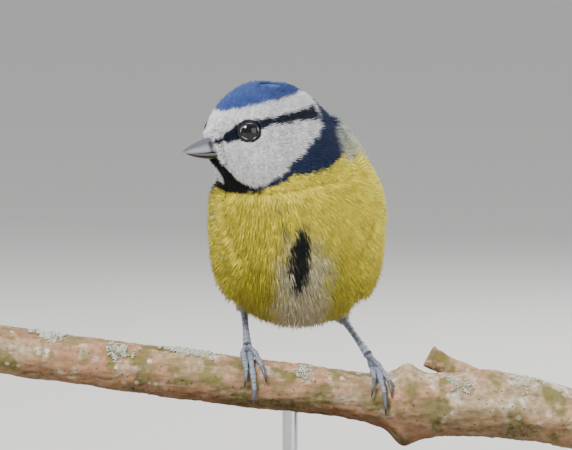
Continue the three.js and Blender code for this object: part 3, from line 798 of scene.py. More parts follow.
@dataclass(frozen=True)
class Markings:
    """Gives the colour of the plumage at places on the body."""

    body: Body
    colours: Palette = Palette()
    # Lines on the side of the head, as forward and up of its middle
    cap_edge: Line = ((-10.5, 7.9), (-5.7, 7.5), (-0.3, 7.3), (5.1, 6.9), (9.5, 6.5))
    stripe_top: Line = (
        (-9.5, 4.8), (-1.8, 4.3), (1.3, 4.0), (5.2, 4.0), (7.6, 4.1), (9.6, 3.6), (12.3, 1.2), (14, 0.2)
    )
    stripe_foot: Line = (
        (-8.5, 1.6), (-4.4, 2.2), (0.5, 2.5), (4.3, 2.3), (6.4, 1.3), (8.4, 0.1), (9.9, 0.4), (12.9, 0.0),
        (14, -0.6),
    )
    cheek_rear: Line = (
        (-11.8, 7.2), (-11, 4.8), (-9.8, 2.3), (-9.1, -0.2), (-7.7, -1.7), (-4, -3.7), (-0.6, -5.9),
        (2.2, -8.3), (4.5, -9.8), (6.4, -11), (7.2, -11.6),
    )
    collar_foot: Line = (
        (-16, -4.6), (-14.8, -5.8), (-9.8, -8.2), (-5.5, -9.3), (-0.2, -9.1), (3.4, -10.6), (6, -12),
        (9, -12.2), (12, -11.2),
    )
    # Half the bib's width at heights of the head's frame
    bib_width: Line = ((-13, 7.5), (-11.6, 5.8), (-10.1, 3.7), (-8.4, 2.4), (-6, 2.1), (-1.0, 1.7))
    edge: float = 0.3

    def at(self, p: Array) -> Array:
        """Returns the plumage's colours.

        Args:
            p: Points of the bird's frame, on or near the body.

        Returns:
            A colour for each point.
        """
        c = self.colours
        q = self.body.into_head(p)
        ragged = 0.35 * hash_noise(p * 1.1, 3)
        f, side, u = q[..., 0] + ragged, np.abs(q[..., 1]), q[..., 2] + ragged
        on_head = self._head(f, side, u)
        on_body = self._trunk(p)
        share = smooth(-0.35, 0.35, u - read_line(self.collar_foot, f))
        nape = smooth(5.5, 8.5, p[..., 0] - 0.25 * (p[..., 1] + 6)) * smooth(14.5, 17, p[..., 2])
        patch = nape * smooth(-12.5, -14.5, f) * smooth(23.5, 21.5, p[..., 2])
        made = mix(on_body, on_head, share)
        return mix(made, c.nape, 0.85 * patch)

    def _head(self, f: Array, side: Array, u: Array) -> Array:
        c, edge = self.colours, self.edge
        made = mix(c.cheek, c.white, smooth(3.0, 6.0, u))
        cap = smooth(-edge, edge, u - read_line(self.cap_edge, f))
        made = mix(made, mix(c.cap_dark, c.cap, smooth(-9, 6, f)), cap)
        stripe = smooth(-edge, edge, u - read_line(self.stripe_foot, f))
        stripe = stripe * smooth(edge, -edge, u - read_line(self.stripe_top, f))
        made = mix(made, c.navy, stripe * smooth(-10.5, -9, f))
        rear = np.array(self.cheek_rear)
        back = np.interp(-u, -rear[:, 1], rear[:, 0])
        made = mix(made, c.collar, smooth(edge, -edge, f - back) * smooth(9.0, 6.8, u))
        bib = smooth(edge, -edge, side - read_line(self.bib_width, u))
        bib = bib * smooth(3, 5, f) * smooth(-1.0, -1.8, u)
        low = smooth(-11.2, -11.8, u) * smooth(3, 6, f)
        return mix(made, c.bib, np.maximum(bib, low))

    def _trunk(self, p: Array) -> Array:
        c = self.colours
        x, y, z = p[..., 0], p[..., 1], p[..., 2]
        wander = 1.2 * hash_noise(p * 0.25, 11)
        fluff = hash_noise(p * np.array([1.3, 1.3, 0.5]), 5)
        # The yellow turns to olive down the flanks, partly the bird's own tone and partly painted shade,
        # with a little more painted shade on the bird's right and painted light that makes its left a little
        # brighter
        made = mix(c.yellow, c.olive_and_shade, smooth(4.0, -13.0, z + wander) * 0.75 + 0.1 * smooth(0, -14, x))
        made = made * (1.0 + 0.16 * smooth(6, 15, x)[..., None])
        # A pale belly round the dark stripe, with grey bases showing above it
        middle = x + 0.3 - 0.03 * z
        pale = smooth(7.2, 3.2, np.abs(middle - 0.8) + 2.0 * fluff) * smooth(0.0, -7.5, z + 1.6 * fluff)
        near = smooth(5.0, 3.0, np.abs(middle) + 1.4 * fluff) * smooth(2.0, -2.0, z) * 0.6
        pale = np.maximum(pale, near)
        made = mix(made, c.belly, 0.9 * pale)
        base = smooth(0.25, 0.75, fluff) * smooth(6, 3.5, np.abs(x + 1.0))
        base = base * smooth(9, 5, z) * smooth(-5, -1, z)
        made = mix(made, c.grey_base, 0.75 * base)
        half = (2.05 + 0.5 * fluff) * smooth(3.0, -2.0, z) * smooth(-16.0, -6.5, z)
        front = smooth(2.0, -2.0, y - 6)
        stripe = smooth(0.5, -0.5, np.abs(middle + 0.5 * fluff) - half) * smooth(0.4, 1.0, half) * front
        made = mix(made, c.stripe, stripe)
        # The green back and rump, and the pale feathers under the tail's root
        back = smooth(-1.0, 3.0, y - 2.0 - 0.55 * (6.0 - z)) * smooth(-2, 3, z + 0.3 * (y - 10) + 2)
        made = mix(made, mix(c.mantle, c.rump, smooth(16, 28, y)), back)
        under = smooth(8, 18, y) * smooth(-2, -7, z + 0.25 * (y - 14))
        return mix(made, c.belly, 0.7 * under)


# The coat


class Zone(Enum):
    """Parts of the coat, each a piece of its own."""

    CROWN = "coat_crown"
    FACE = "coat_face"
    THROAT = "coat_throat"
    NAPE = "coat_nape"
    BREAST_LEFT = "coat_breast_left"
    BREAST_RIGHT = "coat_breast_right"
    BELLY_LEFT = "coat_belly_left"
    BELLY_RIGHT = "coat_belly_right"
    BACK = "coat_back"
    RUMP = "coat_rump"


@dataclass(frozen=True)
class TuftForm:
    """A small feather as a few closed strands, one unit long along y and lifted along z."""

    strands: int
    width: float
    spread: float
    curl: float

    def surface(self, rng: np.random.Generator) -> Surface:
        """Builds the strands.

        Args:
            rng: Where the small differences come from.

        Returns:
            A surface with its UV over the unit square.
        """
        parts = []
        a = np.array([math.pi / 2, math.pi * 7 / 6, math.pi * 11 / 6])
        for k in range(self.strands):
            place = (k + 0.5) / self.strands - 0.5
            lean = self.spread * place + rng.normal(0, 0.06)
            length = 1.0 - 0.3 * abs(place) + rng.uniform(-0.18, 0.05)
            rise = rng.uniform(-0.03, 0.06)
            start = place * self.width * 1.8
            loops = []
            for t, share in ((0.0, 0.8), (0.5, 1.0)):
                middle = np.array([start + lean * t**0.8, length * t, rise * t - self.curl * t * t])
                half = self.width / 2 * share
                loops.append(middle + half * np.stack([np.cos(a), 0 * a, 0.6 * np.sin(a)], 1))
            tip = np.array([start + lean, length, rise - self.curl])
            points = np.vstack([*loops, tip[None]])
            # Painted shade and light: each strand is darker at its root, where it lies under its neighbours,
            # and paler at its tip; the whole strand also takes a random tone
            shade = rng.uniform(0.7, 1.25)
            grey = np.array([0.62] * 3 + [1.0] * 3 + [1.2]) * shade
            uv = np.clip(np.stack([points[:, 0] + 0.5, points[:, 1]], 1), 0, 1)
            parts.append(Surface(points, STRAND_FACES, np.repeat(grey[:, None], 3, 1), uv))
        return Surface.joined(parts)


STRAND_FACES = np.array(
    [
        *((0, 1, 2), (0, 4, 1), (0, 3, 4), (1, 5, 2), (1, 4, 5)),
        *((2, 3, 0), (2, 5, 3), (3, 6, 4), (4, 6, 5), (5, 6, 3)),
    ]
)


@dataclass
class Roots:
    """Where tufts start, which way each lies, its size, its colour and its place on the unwrap."""

    at: Array
    along: Array
    normal: Array
    size: Array
    tint: Array
    uv: Array

    def in_row(self, body: Body) -> "Roots":
        """Takes roots of the bird's frame into the row's frame."""
        at, along, normal = body.to_row(self.at), body.turn(self.along), body.turn(self.normal)
        return Roots(at, along, normal, self.size, self.tint, self.uv)

    def only(self, take: Array) -> "Roots":
        """Keeps the roots that a mask picks."""
        return Roots(*(getattr(self, part.name)[take] for part in fields(self)))


def tuft_size(length: Array, breadth: float) -> Array:
    """Returns width, length and height of tufts, where the breadth is a share of the length."""
    return np.stack([length * breadth, length, length], -1)


def varied(colours: Array, spread: float, rng: np.random.Generator) -> Array:
    """Makes each tuft's colour a little darker or paler."""
    return colours * (1 + spread * rng.normal(size=len(colours)))[:, None]


class Coat:
    """Scatters tufts over the skin with geometry nodes and turns them to plain meshes."""

    PATCH = 0.003
    SLOTS = {
        Zone.CROWN: "head_feathers",
        Zone.FACE: "head_feathers",
        Zone.THROAT: "head_feathers",
        Zone.NAPE: "collar_feathers",
    }

    def __init__(self, material: Material) -> None:
        """Prepares the node tree and remembers the material."""
        self.material = material
        self.tree = self._build_tree()
        self.total = 0

    def forms(self, name: str, form: TuftForm, count: int = 4) -> Tufts:
        """Makes a few variants of a tuft in an unlinked collection."""
        rng = np.random.default_rng(SEED)
        made = bpy.data.collections.new(name)
        for k in range(count):
            piece = make_object(f"{name}_{k}", form.surface(rng), self.material)
            bpy.context.scene.collection.objects.unlink(piece)
            made.objects.link(piece)
        return made

    def _build_tree(self) -> bpy.types.NodeTree:
        tree = bpy.data.node_groups.new("tufts_on_roots", "GeometryNodeTree")
        face = tree.interface
        face.new_socket("Geometry", in_out="INPUT", socket_type="NodeSocketGeometry")
        face.new_socket("Tufts", in_out="INPUT", socket_type="NodeSocketCollection")
        face.new_socket("Finish", in_out="INPUT", socket_type="NodeSocketMaterial")
        face.new_socket("Seed", in_out="INPUT", socket_type="NodeSocketInt")
        face.new_socket("Geometry", in_out="OUTPUT", socket_type="NodeSocketGeometry")
        node = Node(tree)
        given = node.add("NodeGroupInput")
        tufts = node.add("GeometryNodeCollectionInfo", Collection=given.outputs["Tufts"])
        tufts.inputs["Separate Children"].default_value = True
        tufts.inputs["Reset Children"].default_value = True

        def named(kind: str, name: str) -> Socket:
            made = node.add("GeometryNodeInputNamedAttribute", {"data_type": kind}, Name=name)
            return made.outputs["Attribute"]

        pick = node.add("FunctionNodeRandomValue", {"data_type": "INT"}, Seed=given.outputs["Seed"])
        pick.inputs[4].default_value = 0
        pick.inputs[5].default_value = 3
        placed = node.add(
            "GeometryNodeInstanceOnPoints",
            Points=given.outputs["Geometry"],
            Instance=tufts.outputs[0],
            Pick_Instance=True,
            Instance_Index=pick.outputs[2],
            Rotation=named("QUATERNION", "Turn"),
            Scale=named("FLOAT_VECTOR", "Size"),
        )
        real = node.add("GeometryNodeRealizeInstances", Geometry=placed.outputs["Instances"])
        own = named("FLOAT_VECTOR", "OFBake")
        small = node.add("ShaderNodeVectorMath", {"operation": "SCALE"}, _0=own, Scale=self.PATCH)
        root = named("FLOAT_VECTOR", "Root")
        moved = node.add("ShaderNodeVectorMath", {"operation": "ADD"}, _0=small.outputs[0], _1=root)
        stored = node.add(
            "GeometryNodeStoreNamedAttribute",
            {"data_type": "FLOAT2", "domain": "CORNER"},
            Geometry=real.outputs["Geometry"],
            Name="OFBake",
            Value=moved.outputs[0],
        )
        shaded = node.add(
            "ShaderNodeVectorMath",
            {"operation": "MULTIPLY"},
            _0=named("FLOAT_COLOR", "Shade"),
            _1=named("FLOAT_COLOR", "Tint"),
        )
        coloured = node.add(
            "GeometryNodeStoreNamedAttribute",
            {"data_type": "FLOAT_COLOR", "domain": "POINT"},
            Geometry=stored.outputs["Geometry"],
            Name="Tint",
            Value=shaded.outputs[0],
        )
        made, finish = coloured.outputs["Geometry"], given.outputs["Finish"]
        finished = node.add("GeometryNodeSetMaterial", Geometry=made, Material=finish)
        node.add("NodeGroupOutput", Geometry=finished.outputs["Geometry"])
        return tree

    def grow(self, name: str, slot: str, tufts: Tufts, roots: Roots) -> Object:
        """Grows one piece of the coat.

        Args:
            name: The piece's name.
            slot: The record's material slot, which is not used.
            tufts: The variants to choose from.
            roots: Where and how the tufts stand, in the row's frame.

        Returns:
            The coat's piece as a plain mesh.
        """
        count = len(roots.at)
        mesh = bpy.data.meshes.new(name)
        mesh.vertices.add(count)
        mesh.vertices.foreach_set("co", (roots.at * MM).astype(np.float32).ravel())
        across = unit(np.cross(roots.along, roots.normal))
        over = np.cross(across, roots.along)
        turn = quaternions(np.stack([across, roots.along, over], -1))
        shade = np.ones((count, 4))
        shade[:, :3] = np.clip(roots.tint, 0, 1)
        place = np.zeros((count, 3))
        place[:, :2] = roots.uv
        for key, kind, values, field_name in (
            ("Turn", "QUATERNION", turn, "value"),
            ("Size", "FLOAT_VECTOR", roots.size, "vector"),
            ("Shade", "FLOAT_COLOR", shade, "color"),
            ("Root", "FLOAT_VECTOR", place, "vector"),
        ):
            layer = mesh.attributes.new(key, kind, "POINT")
            layer.data.foreach_set(field_name, values.astype(np.float32).ravel())
        points = bpy.data.objects.new(name, mesh)
        bpy.context.scene.collection.objects.link(points)
        modifier = points.modifiers.new("tufts", "NODES")
        modifier.node_group = self.tree
        values = {"Tufts": tufts, "Finish": self.material, "Seed": SEED}
        for item in self.tree.interface.items_tree:
            if item.in_out == "INPUT" and item.name in values:
                modifier[item.identifier] = values[item.name]
        graph = bpy.context.evaluated_depsgraph_get()
        plain = bpy.data.meshes.new_from_object(points.evaluated_get(graph), depsgraph=graph)
        points.modifiers.remove(modifier)
        points.data = plain
        plain.name = name
        for key in ("Turn", "Size", "Shade", "Root"):
            if key in plain.attributes:
                plain.attributes.remove(plain.attributes[key])
        self.total += len(plain.polygons)
        log.info("%s: %d tufts, %d faces", name, count, len(plain.polygons))
        return place_part(points, slot)


def quaternions(m: Array) -> Array:
    """Turns rotation matrices, with axes as columns, into quaternions as w, x, y and z."""
    w = np.sqrt(np.maximum(0, 1 + m[:, 0, 0] + m[:, 1, 1] + m[:, 2, 2])) / 2
    x = np.sqrt(np.maximum(0, 1 + m[:, 0, 0] - m[:, 1, 1] - m[:, 2, 2])) / 2
    y = np.sqrt(np.maximum(0, 1 - m[:, 0, 0] + m[:, 1, 1] - m[:, 2, 2])) / 2
    z = np.sqrt(np.maximum(0, 1 - m[:, 0, 0] - m[:, 1, 1] + m[:, 2, 2])) / 2
    x = np.copysign(x, m[:, 2, 1] - m[:, 1, 2])
    y = np.copysign(y, m[:, 0, 2] - m[:, 2, 0])
    z = np.copysign(z, m[:, 1, 0] - m[:, 0, 1])
    return np.stack([w, x, y, z], -1)


def under_wing(body: Body, p: Array) -> Array:
    """Tells which points of the body lie under a folded wing."""
    wing = Quills(body, Palette())
    q = p - wing.wrist
    along, high = q @ wing.way, q @ wing.up
    angle = np.degrees(np.arctan2(high, np.abs(p[..., 0])))
    return (along > 2.0) & (along < 34) & (angle > -10) & (angle < 44) & (np.abs(p[..., 0]) > 5)


@dataclass
class Plumage:
    """The skin and the small feathers that cover it."""

    body: Body
    unwrap: Unwrap
    markings: Markings
    coat: Coat
    rings: int = 150
    sides: int = 180
    head_roots: int = 24000
    trunk_roots: int = 16500
    eyes: list["Eye"] = field(default_factory=list)

    def depth(self, p: Array) -> Array:
        """Returns how thick the coat is at points of the bird's outside."""
        q = self.body.into_head(p)
        face = smooth(4.0, 10.0, q[..., 0]) * smooth(-12, -9, q[..., 2])
        head = smooth(-11.0, -8.0, q[..., 2]) * smooth(-13, -9, q[..., 0])
        return 1.1 - 0.35 * head - 0.35 * face * head

    def skin(self, finish: Material) -> Object:
        """Builds the skin that lies under the coat.

        Args:
            finish: The skin's material.

        Returns:
            One closed mesh that stands for the fleshy nodes.
        """
        grid = self.unwrap.grid(self.rings, self.sides, self.depth)
        self.grid = grid
        # Painted shade: the skin takes the plumage's colour made darker, as the shade under the tufts
        tint = self.markings.at(grid) * 0.8
        made = tube(self.body.to_row(grid), tint)
        skin = make_object("skin", made, finish)
        return place_part(skin, "breast_feathers", "head", "neck", "torso")

    def _roots(self, count: int, keep: Rule, weight: Rule) -> tuple[Array, Array]:
        g = self.grid
        nxt = np.roll(g, -1, axis=1)
        along = g[1:] - g[:-1]
        across = (nxt - g)[:-1]
        area = np.linalg.norm(np.cross(along, across), axis=-1) * weight(g[:-1])
        chance = np.cumsum(area.ravel())
        total = chance[-1]
        rng = np.random.default_rng(SEED)
        pick = (np.arange(count) + rng.random(count)) / count * total
        cell = np.minimum(np.searchsorted(chance, pick), len(chance) - 1)
        i, j = np.divmod(cell, g.shape[1])
        a, b = rng.random(count), rng.random(count)
        j2 = (j + 1) % g.shape[1]
        p = (
            g[i, j] * ((1 - a) * (1 - b))[:, None]
            + g[i + 1, j] * (a * (1 - b))[:, None]
            + g[i, j2] * ((1 - a) * b)[:, None]
            + g[i + 1, j2] * (a * b)[:, None]
        )
        uv = np.stack([(j + b) / g.shape[1], (i + a) / (g.shape[0] - 1)], -1)
        good = keep(p)
        return p[good], uv[good]

    def flow(self, p: Array, normal: Array) -> Array:
        """Returns the lie of the coat: away from the bill on the head, and down and back on the body."""
        c = self.body
        from_bill = unit(p - c.from_head((16.0, 0, 2.0)))
        throat = c.from_head((6.0, 0, -11.0))
        down = unit(0.45 * unit(p - throat) + np.array([0.0, 0.7, -0.7]))
        q = c.into_head(p)
        share = smooth(-13.0, -8.0, q[..., 2]) * smooth(-15.0, -9.0, q[..., 0])
        way = from_bill * share[:, None] + down * (1 - share)[:, None]
        swirl = 0.12 * np.stack([hash_noise(p * 0.6, 21 + k) for k in range(3)], -1)
        way = way + swirl
        return unit(way - normal * (way * normal).sum(-1, keepdims=True))

    def _zone(self, p: Array, on_head: bool) -> Array:
        q = self.body.into_head(p)
        zones = np.empty(len(p), object)
        if on_head:
            zones[:] = Zone.FACE
            zones[q[:, 2] > 3.5] = Zone.CROWN
            zones[(q[:, 0] < -5) & (q[:, 2] <= 3.5)] = Zone.NAPE
            zones[(q[:, 2] < -6) & (q[:, 0] >= -5)] = Zone.THROAT
            return zones
        front = p[:, 1] < 8
        left = p[:, 0] > 0
        low = p[:, 2] < -3
        zones[:] = Zone.BACK
        zones[~front & (p[:, 1] > 19)] = Zone.RUMP
        zones[front & left & ~low] = Zone.BREAST_LEFT
        zones[front & ~left & ~low] = Zone.BREAST_RIGHT
        zones[front & left & low] = Zone.BELLY_LEFT
        zones[front & ~left & low] = Zone.BELLY_RIGHT
        return zones

    def cover(self) -> None:
        """Grows the coat over the head and the body."""
        head_form = self.coat.forms("head_tuft", TuftForm(strands=2, width=0.13, spread=0.26, curl=0.05))
        body_form = self.coat.forms("body_tuft", TuftForm(strands=4, width=0.055, spread=0.26, curl=0.05))
        c = self.body

        def on_head(p: Array) -> Array:
            q = c.into_head(p)
            return (q[..., 2] > -11.5) & (q[..., 0] > -13.5)

        def free_of_wing(p: Array) -> Array:
            return ~on_head(p) & ~under_wing(c, p)

        def clear_face(p: Array) -> Array:
            q = c.into_head(p)
            good = on_head(p)
            good &= ~((q[..., 0] > 13.2) & (np.abs(q[..., 1]) < 2.2) & (np.abs(q[..., 2] + 1.7) < 2.3))
            for eye in self.eyes:
                normal = c.normal(p)
                lie = self.flow(p, normal)
                for ahead in (0.0, 0.7, 1.4):
                    away = p + lie * ahead - eye.surface
                    away -= eye.way * (away @ eye.way)[..., None]
                    near = (p - eye.surface) @ eye.way > -4.0
                    good &= (np.linalg.norm(away, axis=-1) > eye.opening + 0.12) | ~near
            return good

        def closer_on_face(p: Array) -> Array:
            return on_head(p) * (0.7 + 0.8 * smooth(-4, 8, c.into_head(p)[..., 0])) + 1e-9

        self._grow(self._roots(self.head_roots, clear_face, closer_on_face), True, head_form)
        even = self._roots(self.trunk_roots, free_of_wing, lambda p: free_of_wing(p) + 1e-9)
        self._grow(even, False, body_form)

    def _grow(self, roots: tuple[Array, Array], on_head: bool, tufts: Tufts) -> None:
        p, uv = roots
        rng = np.random.default_rng(SEED + on_head)
        normal = self.body.normal(p)
        lie = self.flow(p, normal)
        q = self.body.into_head(p)
        if on_head:
            face = smooth(3.0, 11.0, q[:, 0])
            length = 2.4 - 1.2 * face
            lift = 0.3 + 0.14 * rng.random(len(p))
            width = length * 0.9
            over_bill = smooth(10.9, 11.9, q[:, 0]) * smooth(3.6, 2.8, np.abs(q[:, 1]))
            over_bill = over_bill * smooth(-5.4, -4.4, q[:, 2]) * smooth(2.8, 1.8, q[:, 2])
            lie = unit(mix(lie, self.body.head_axes[0], over_bill))
        else:
            length = 4.6 + 0.8 * smooth(4, -14, p[:, 2])
            lift = 0.15 + 0.17 * rng.random(len(p))
            width = length * 0.95
        length = length * rng.uniform(0.8, 1.15, len(p))
        along = unit(lie + normal * lift[:, None] + 0.1 * rng.normal(size=p.shape))
        outside = self.markings.at(p + lie * (0.45 * length)[:, None])
        streak = hash_noise(p * np.array([1.6, 1.6, 0.45]), 91)
        shade = 1.0 + 0.12 * rng.normal(size=len(p)) + 0.16 * streak
        size = np.stack([width, length, length], -1)
        grown = Roots(p, along, normal, size, outside * shade[:, None], uv).in_row(self.body)
        zones = self._zone(p, on_head)
        for zone in Zone:
            take = zones == zone
            if not take.any():
                continue
            slot = Coat.SLOTS.get(zone, "breast_feathers")
            self.coat.grow(zone.value, slot, tufts, grown.only(take))


# Eyes and bill


@dataclass(frozen=True)
class Eye:
    """One eye: a ball deep in its socket, with lids round the opening."""

    body: Body
    side: int
    radius: float = 3.2
    opening: float = 2.15
    forward: float = 8.0
    up: float = 1.9
    look: Place = (0.42, 0.9, 0.14)
    rim_inset: float = 0.16
    rim_width: float = 0.28

    @property
    def way(self) -> Array:
        """The direction in which the eye looks."""
        f, side, u = self.look
        return unit(np.array([f, self.side * side, u]) @ self.body.head_axes)

    @property
    def surface(self) -> Array:
        """Where the eye's opening meets the head's outside."""
        inside = self.body.from_head((self.forward, 0, self.up))
        across = self.side * self.body.head_axes[1]
        r = reach(self.body.distance, inside[None], across[None])[0]
        return inside + across * r

    @property
    def middle(self) -> Array:
        """The middle of the eyeball."""
        return self.surface - self.way * math.sqrt(self.radius**2 - self.opening**2)

    def axes(self) -> Array:
        """Two directions across the opening and the one out of it, as rows."""
        up = self.body.head_axes[2]
        across = unit(np.cross(up, self.way))
        return np.array([across, np.cross(self.way, across), self.way])

    def ball(self, material: Material) -> Object:
        """Builds the eyeball with a brown ring round a black pupil."""
        rings, sides = 36, 48
        a = (np.arange(rings) + 0.5) / rings * math.pi
        b = np.arange(sides) / sides * 2 * math.pi
        local = np.stack(
            [
                np.sin(a)[:, None] * np.cos(b)[None],
                np.sin(a)[:, None] * np.sin(b)[None],
                np.repeat(-np.cos(a)[:, None], sides, 1),
            ],
            -1,
        )
        points = self.middle + self.radius * local @ self.axes()
        angle = np.degrees(np.pi - a)
        iris = smooth(26, 28, angle) * smooth(47, 43, angle)
        tint = mix((0.002, 0.0018, 0.0015), (0.01, 0.0055, 0.0035), iris)
        made = tube(self.body.to_row(points), np.repeat(tint[:, None], sides, 1))
        name = side_name(self.side)
        return place_part(make_object(f"eyeball_{name}", made, material), "eye", f"eye_{name}")

    def lids(self, material: Material) -> Object:
        """Builds the thin bare rim of the lids, a little pointed at both corners."""
        turns, sides = 64, 10
        a = np.arange(turns) / turns * 2 * math.pi
        b = np.arange(sides) / sides * 2 * math.pi
        corner = 0.16 * np.exp(-((np.cos(a) - 1) ** 2) * 14) + 0.2 * np.exp(-((np.cos(a) + 1) ** 2) * 14)
        rise = 0.14 + 0.24 * np.sin(b) - 0.15 * np.cos(b)
        loops = []
        for i in (*range(turns), 0):
            r = self.opening - self.rim_inset + corner[i]
            out = np.array([math.cos(a[i]), math.sin(a[i]), 0.0])
            ring = out * (r + self.rim_width * np.cos(b))[:, None] + np.array([0, 0, 1.0]) * rise[:, None]
            loops.append(self.surface + ring @ self.axes())
        points = self.body.to_row(np.array(loops))
        broken = smooth(-0.2, 0.5, np.sin(a * 5 + 0.6) + 0.6 * np.sin(a * 11))[np.r_[0:turns, 0]]
        ring_colour = mix((0.03, 0.032, 0.04), (0.42, 0.42, 0.45), broken)
        inner = np.broadcast_to(smooth(-0.5, -0.85, np.cos(b)), (turns + 1, sides))
        colour = mix(np.array([0.012, 0.014, 0.024]), ring_colour[:, None], inner)
        made = make_object(f"lids_{side_name(self.side)}", tube(points, colour), material)
        return place_part(made, "leg_skin")


@dataclass(frozen=True)
class Bill:
    """The short bill in its two halves."""

    body: Body
    root: float = 11.5
    tip: float = 20.8
    line: float = -2.05
    lift: float = 0.9
    gap: float = 0.3
    shorter: float = 0.9
    half_width: float = 2.15
    upper_depth: float = 3.2
    lower_depth: float = 1.45
    blunt: float = 0.12
    nostril_at: float = 14.3
    rings: int = 44
    sides: int = 28
    grey: Colour = (0.1, 0.108, 0.13)
    pale: Colour = (0.25, 0.245, 0.26)
    under: Colour = (0.1, 0.1, 0.11)
    dark: Colour = (0.006, 0.006, 0.007)
    nostril: Colour = (0.03, 0.026, 0.025)

    def half(self, upper: bool) -> Surface:
        """Builds one half as a loft along the head's forward axis."""
        t = np.linspace(0, 1, self.rings)
        tip = self.tip if upper else self.tip - self.shorter
        f = self.root + (tip - self.root) * t
        deepest = self.upper_depth if upper else self.lower_depth
        width = self.half_width * (1 - t**1.7) ** 0.8 + self.blunt
        depth = deepest * (1 - t**1.9) ** 0.85 + self.blunt
        sign = 1.0 if upper else -1.0
        line = self.line + self.lift * t * t + sign * self.gap / 2
        a = np.linspace(0, math.pi, self.sides)
        side = width[:, None] * np.cos(a)[None]
        rise = np.sin(a)[None] ** 0.9 * depth[:, None]
        along = np.repeat(f[:, None], self.sides, 1)
        ridge = np.repeat(np.sin(a)[None] ** 2, self.rings, 0)
        if upper:
            away = (along - self.nostril_at) ** 2 / 0.35 + (np.abs(side) - 1.72) ** 2 / 0.22
            dent = 0.5 * np.exp(-away)
            side = side * (1 - 0.28 * dent)
            tint = mix(self.pale, self.grey, smooth(0.05, 0.5, ridge))
            point = np.repeat(smooth(0.86, 1.0, t)[:, None], self.sides, 1)
            tint = mix(tint, self.dark, point * 0.4)
            tint = mix(tint, self.nostril, smooth(0.1, 0.4, dent))
        else:
            tint = mix(self.under, self.dark, smooth(0.0, 0.25, ridge))
        local = np.stack([along, side, line[:, None] + sign * rise], -1)
        points = self.body.to_row(self.body.from_head(local))
        if upper:
            points, tint = points[:, ::-1], tint[:, ::-1]
        return tube(points, tint)

    def build(self, material: Material) -> None:
        """Makes both halves."""
        for name, upper in (("bill_upper", True), ("bill_lower", False)):
            place_part(make_object(f"{name}_horn", self.half(upper), material), "bill_horn", name)


# Wings and tail


@dataclass(frozen=True)
class Vane:
    """One quill feather on the folded wing or the tail.

    Places are a length from the wrist and an angle round the trunk, or for the tail a length from its root
    and a distance to the side.
    """

    root: tuple[float, float]
    tip: tuple[float, float]
    width: float
    lift: float
    colour: Colour
    edge: Colour
    end: Colour | None = None
    sharp: float = 1.0
    ends_at: float = 0.88


def close_vane(
    body: Body,
    side: int,
    faces: tuple[Array, Array],
    across: Array,
    run: Array,
    colour: Array,
    patch: Sequence[float],
) -> tuple[Surface, Array]:
    """Joins a vane's two faces to a closed surface.

    Args:
        body: The body in whose frame the faces are.
        side: 1 for a vane on the left and -1 for one on the right.
        faces: The top face and the under face, each as rows of points.
        across: Places from -1 to 1 across the top face and back along the under one.
        run: Lengths along the vane, one for each row.
        colour: A colour for each point.
        patch: The vane's share of the UV square.

    Returns:
        The closed surface and, for each point, its place across and along the vane.
    """
    top, under = faces
    loops = np.concatenate([top, under[:, ::-1]], axis=1)
    if side < 0:
        loops, colour, across = loops[:, ::-1], colour[:, ::-1], across[::-1]
    own = np.stack(np.broadcast_arrays(across[None], run[:, None]), -1).reshape(-1, 2)
    own = np.vstack([own, [[0, 0], [0, 1]]])
    return tube(body.to_row(loops), colour, patch), own


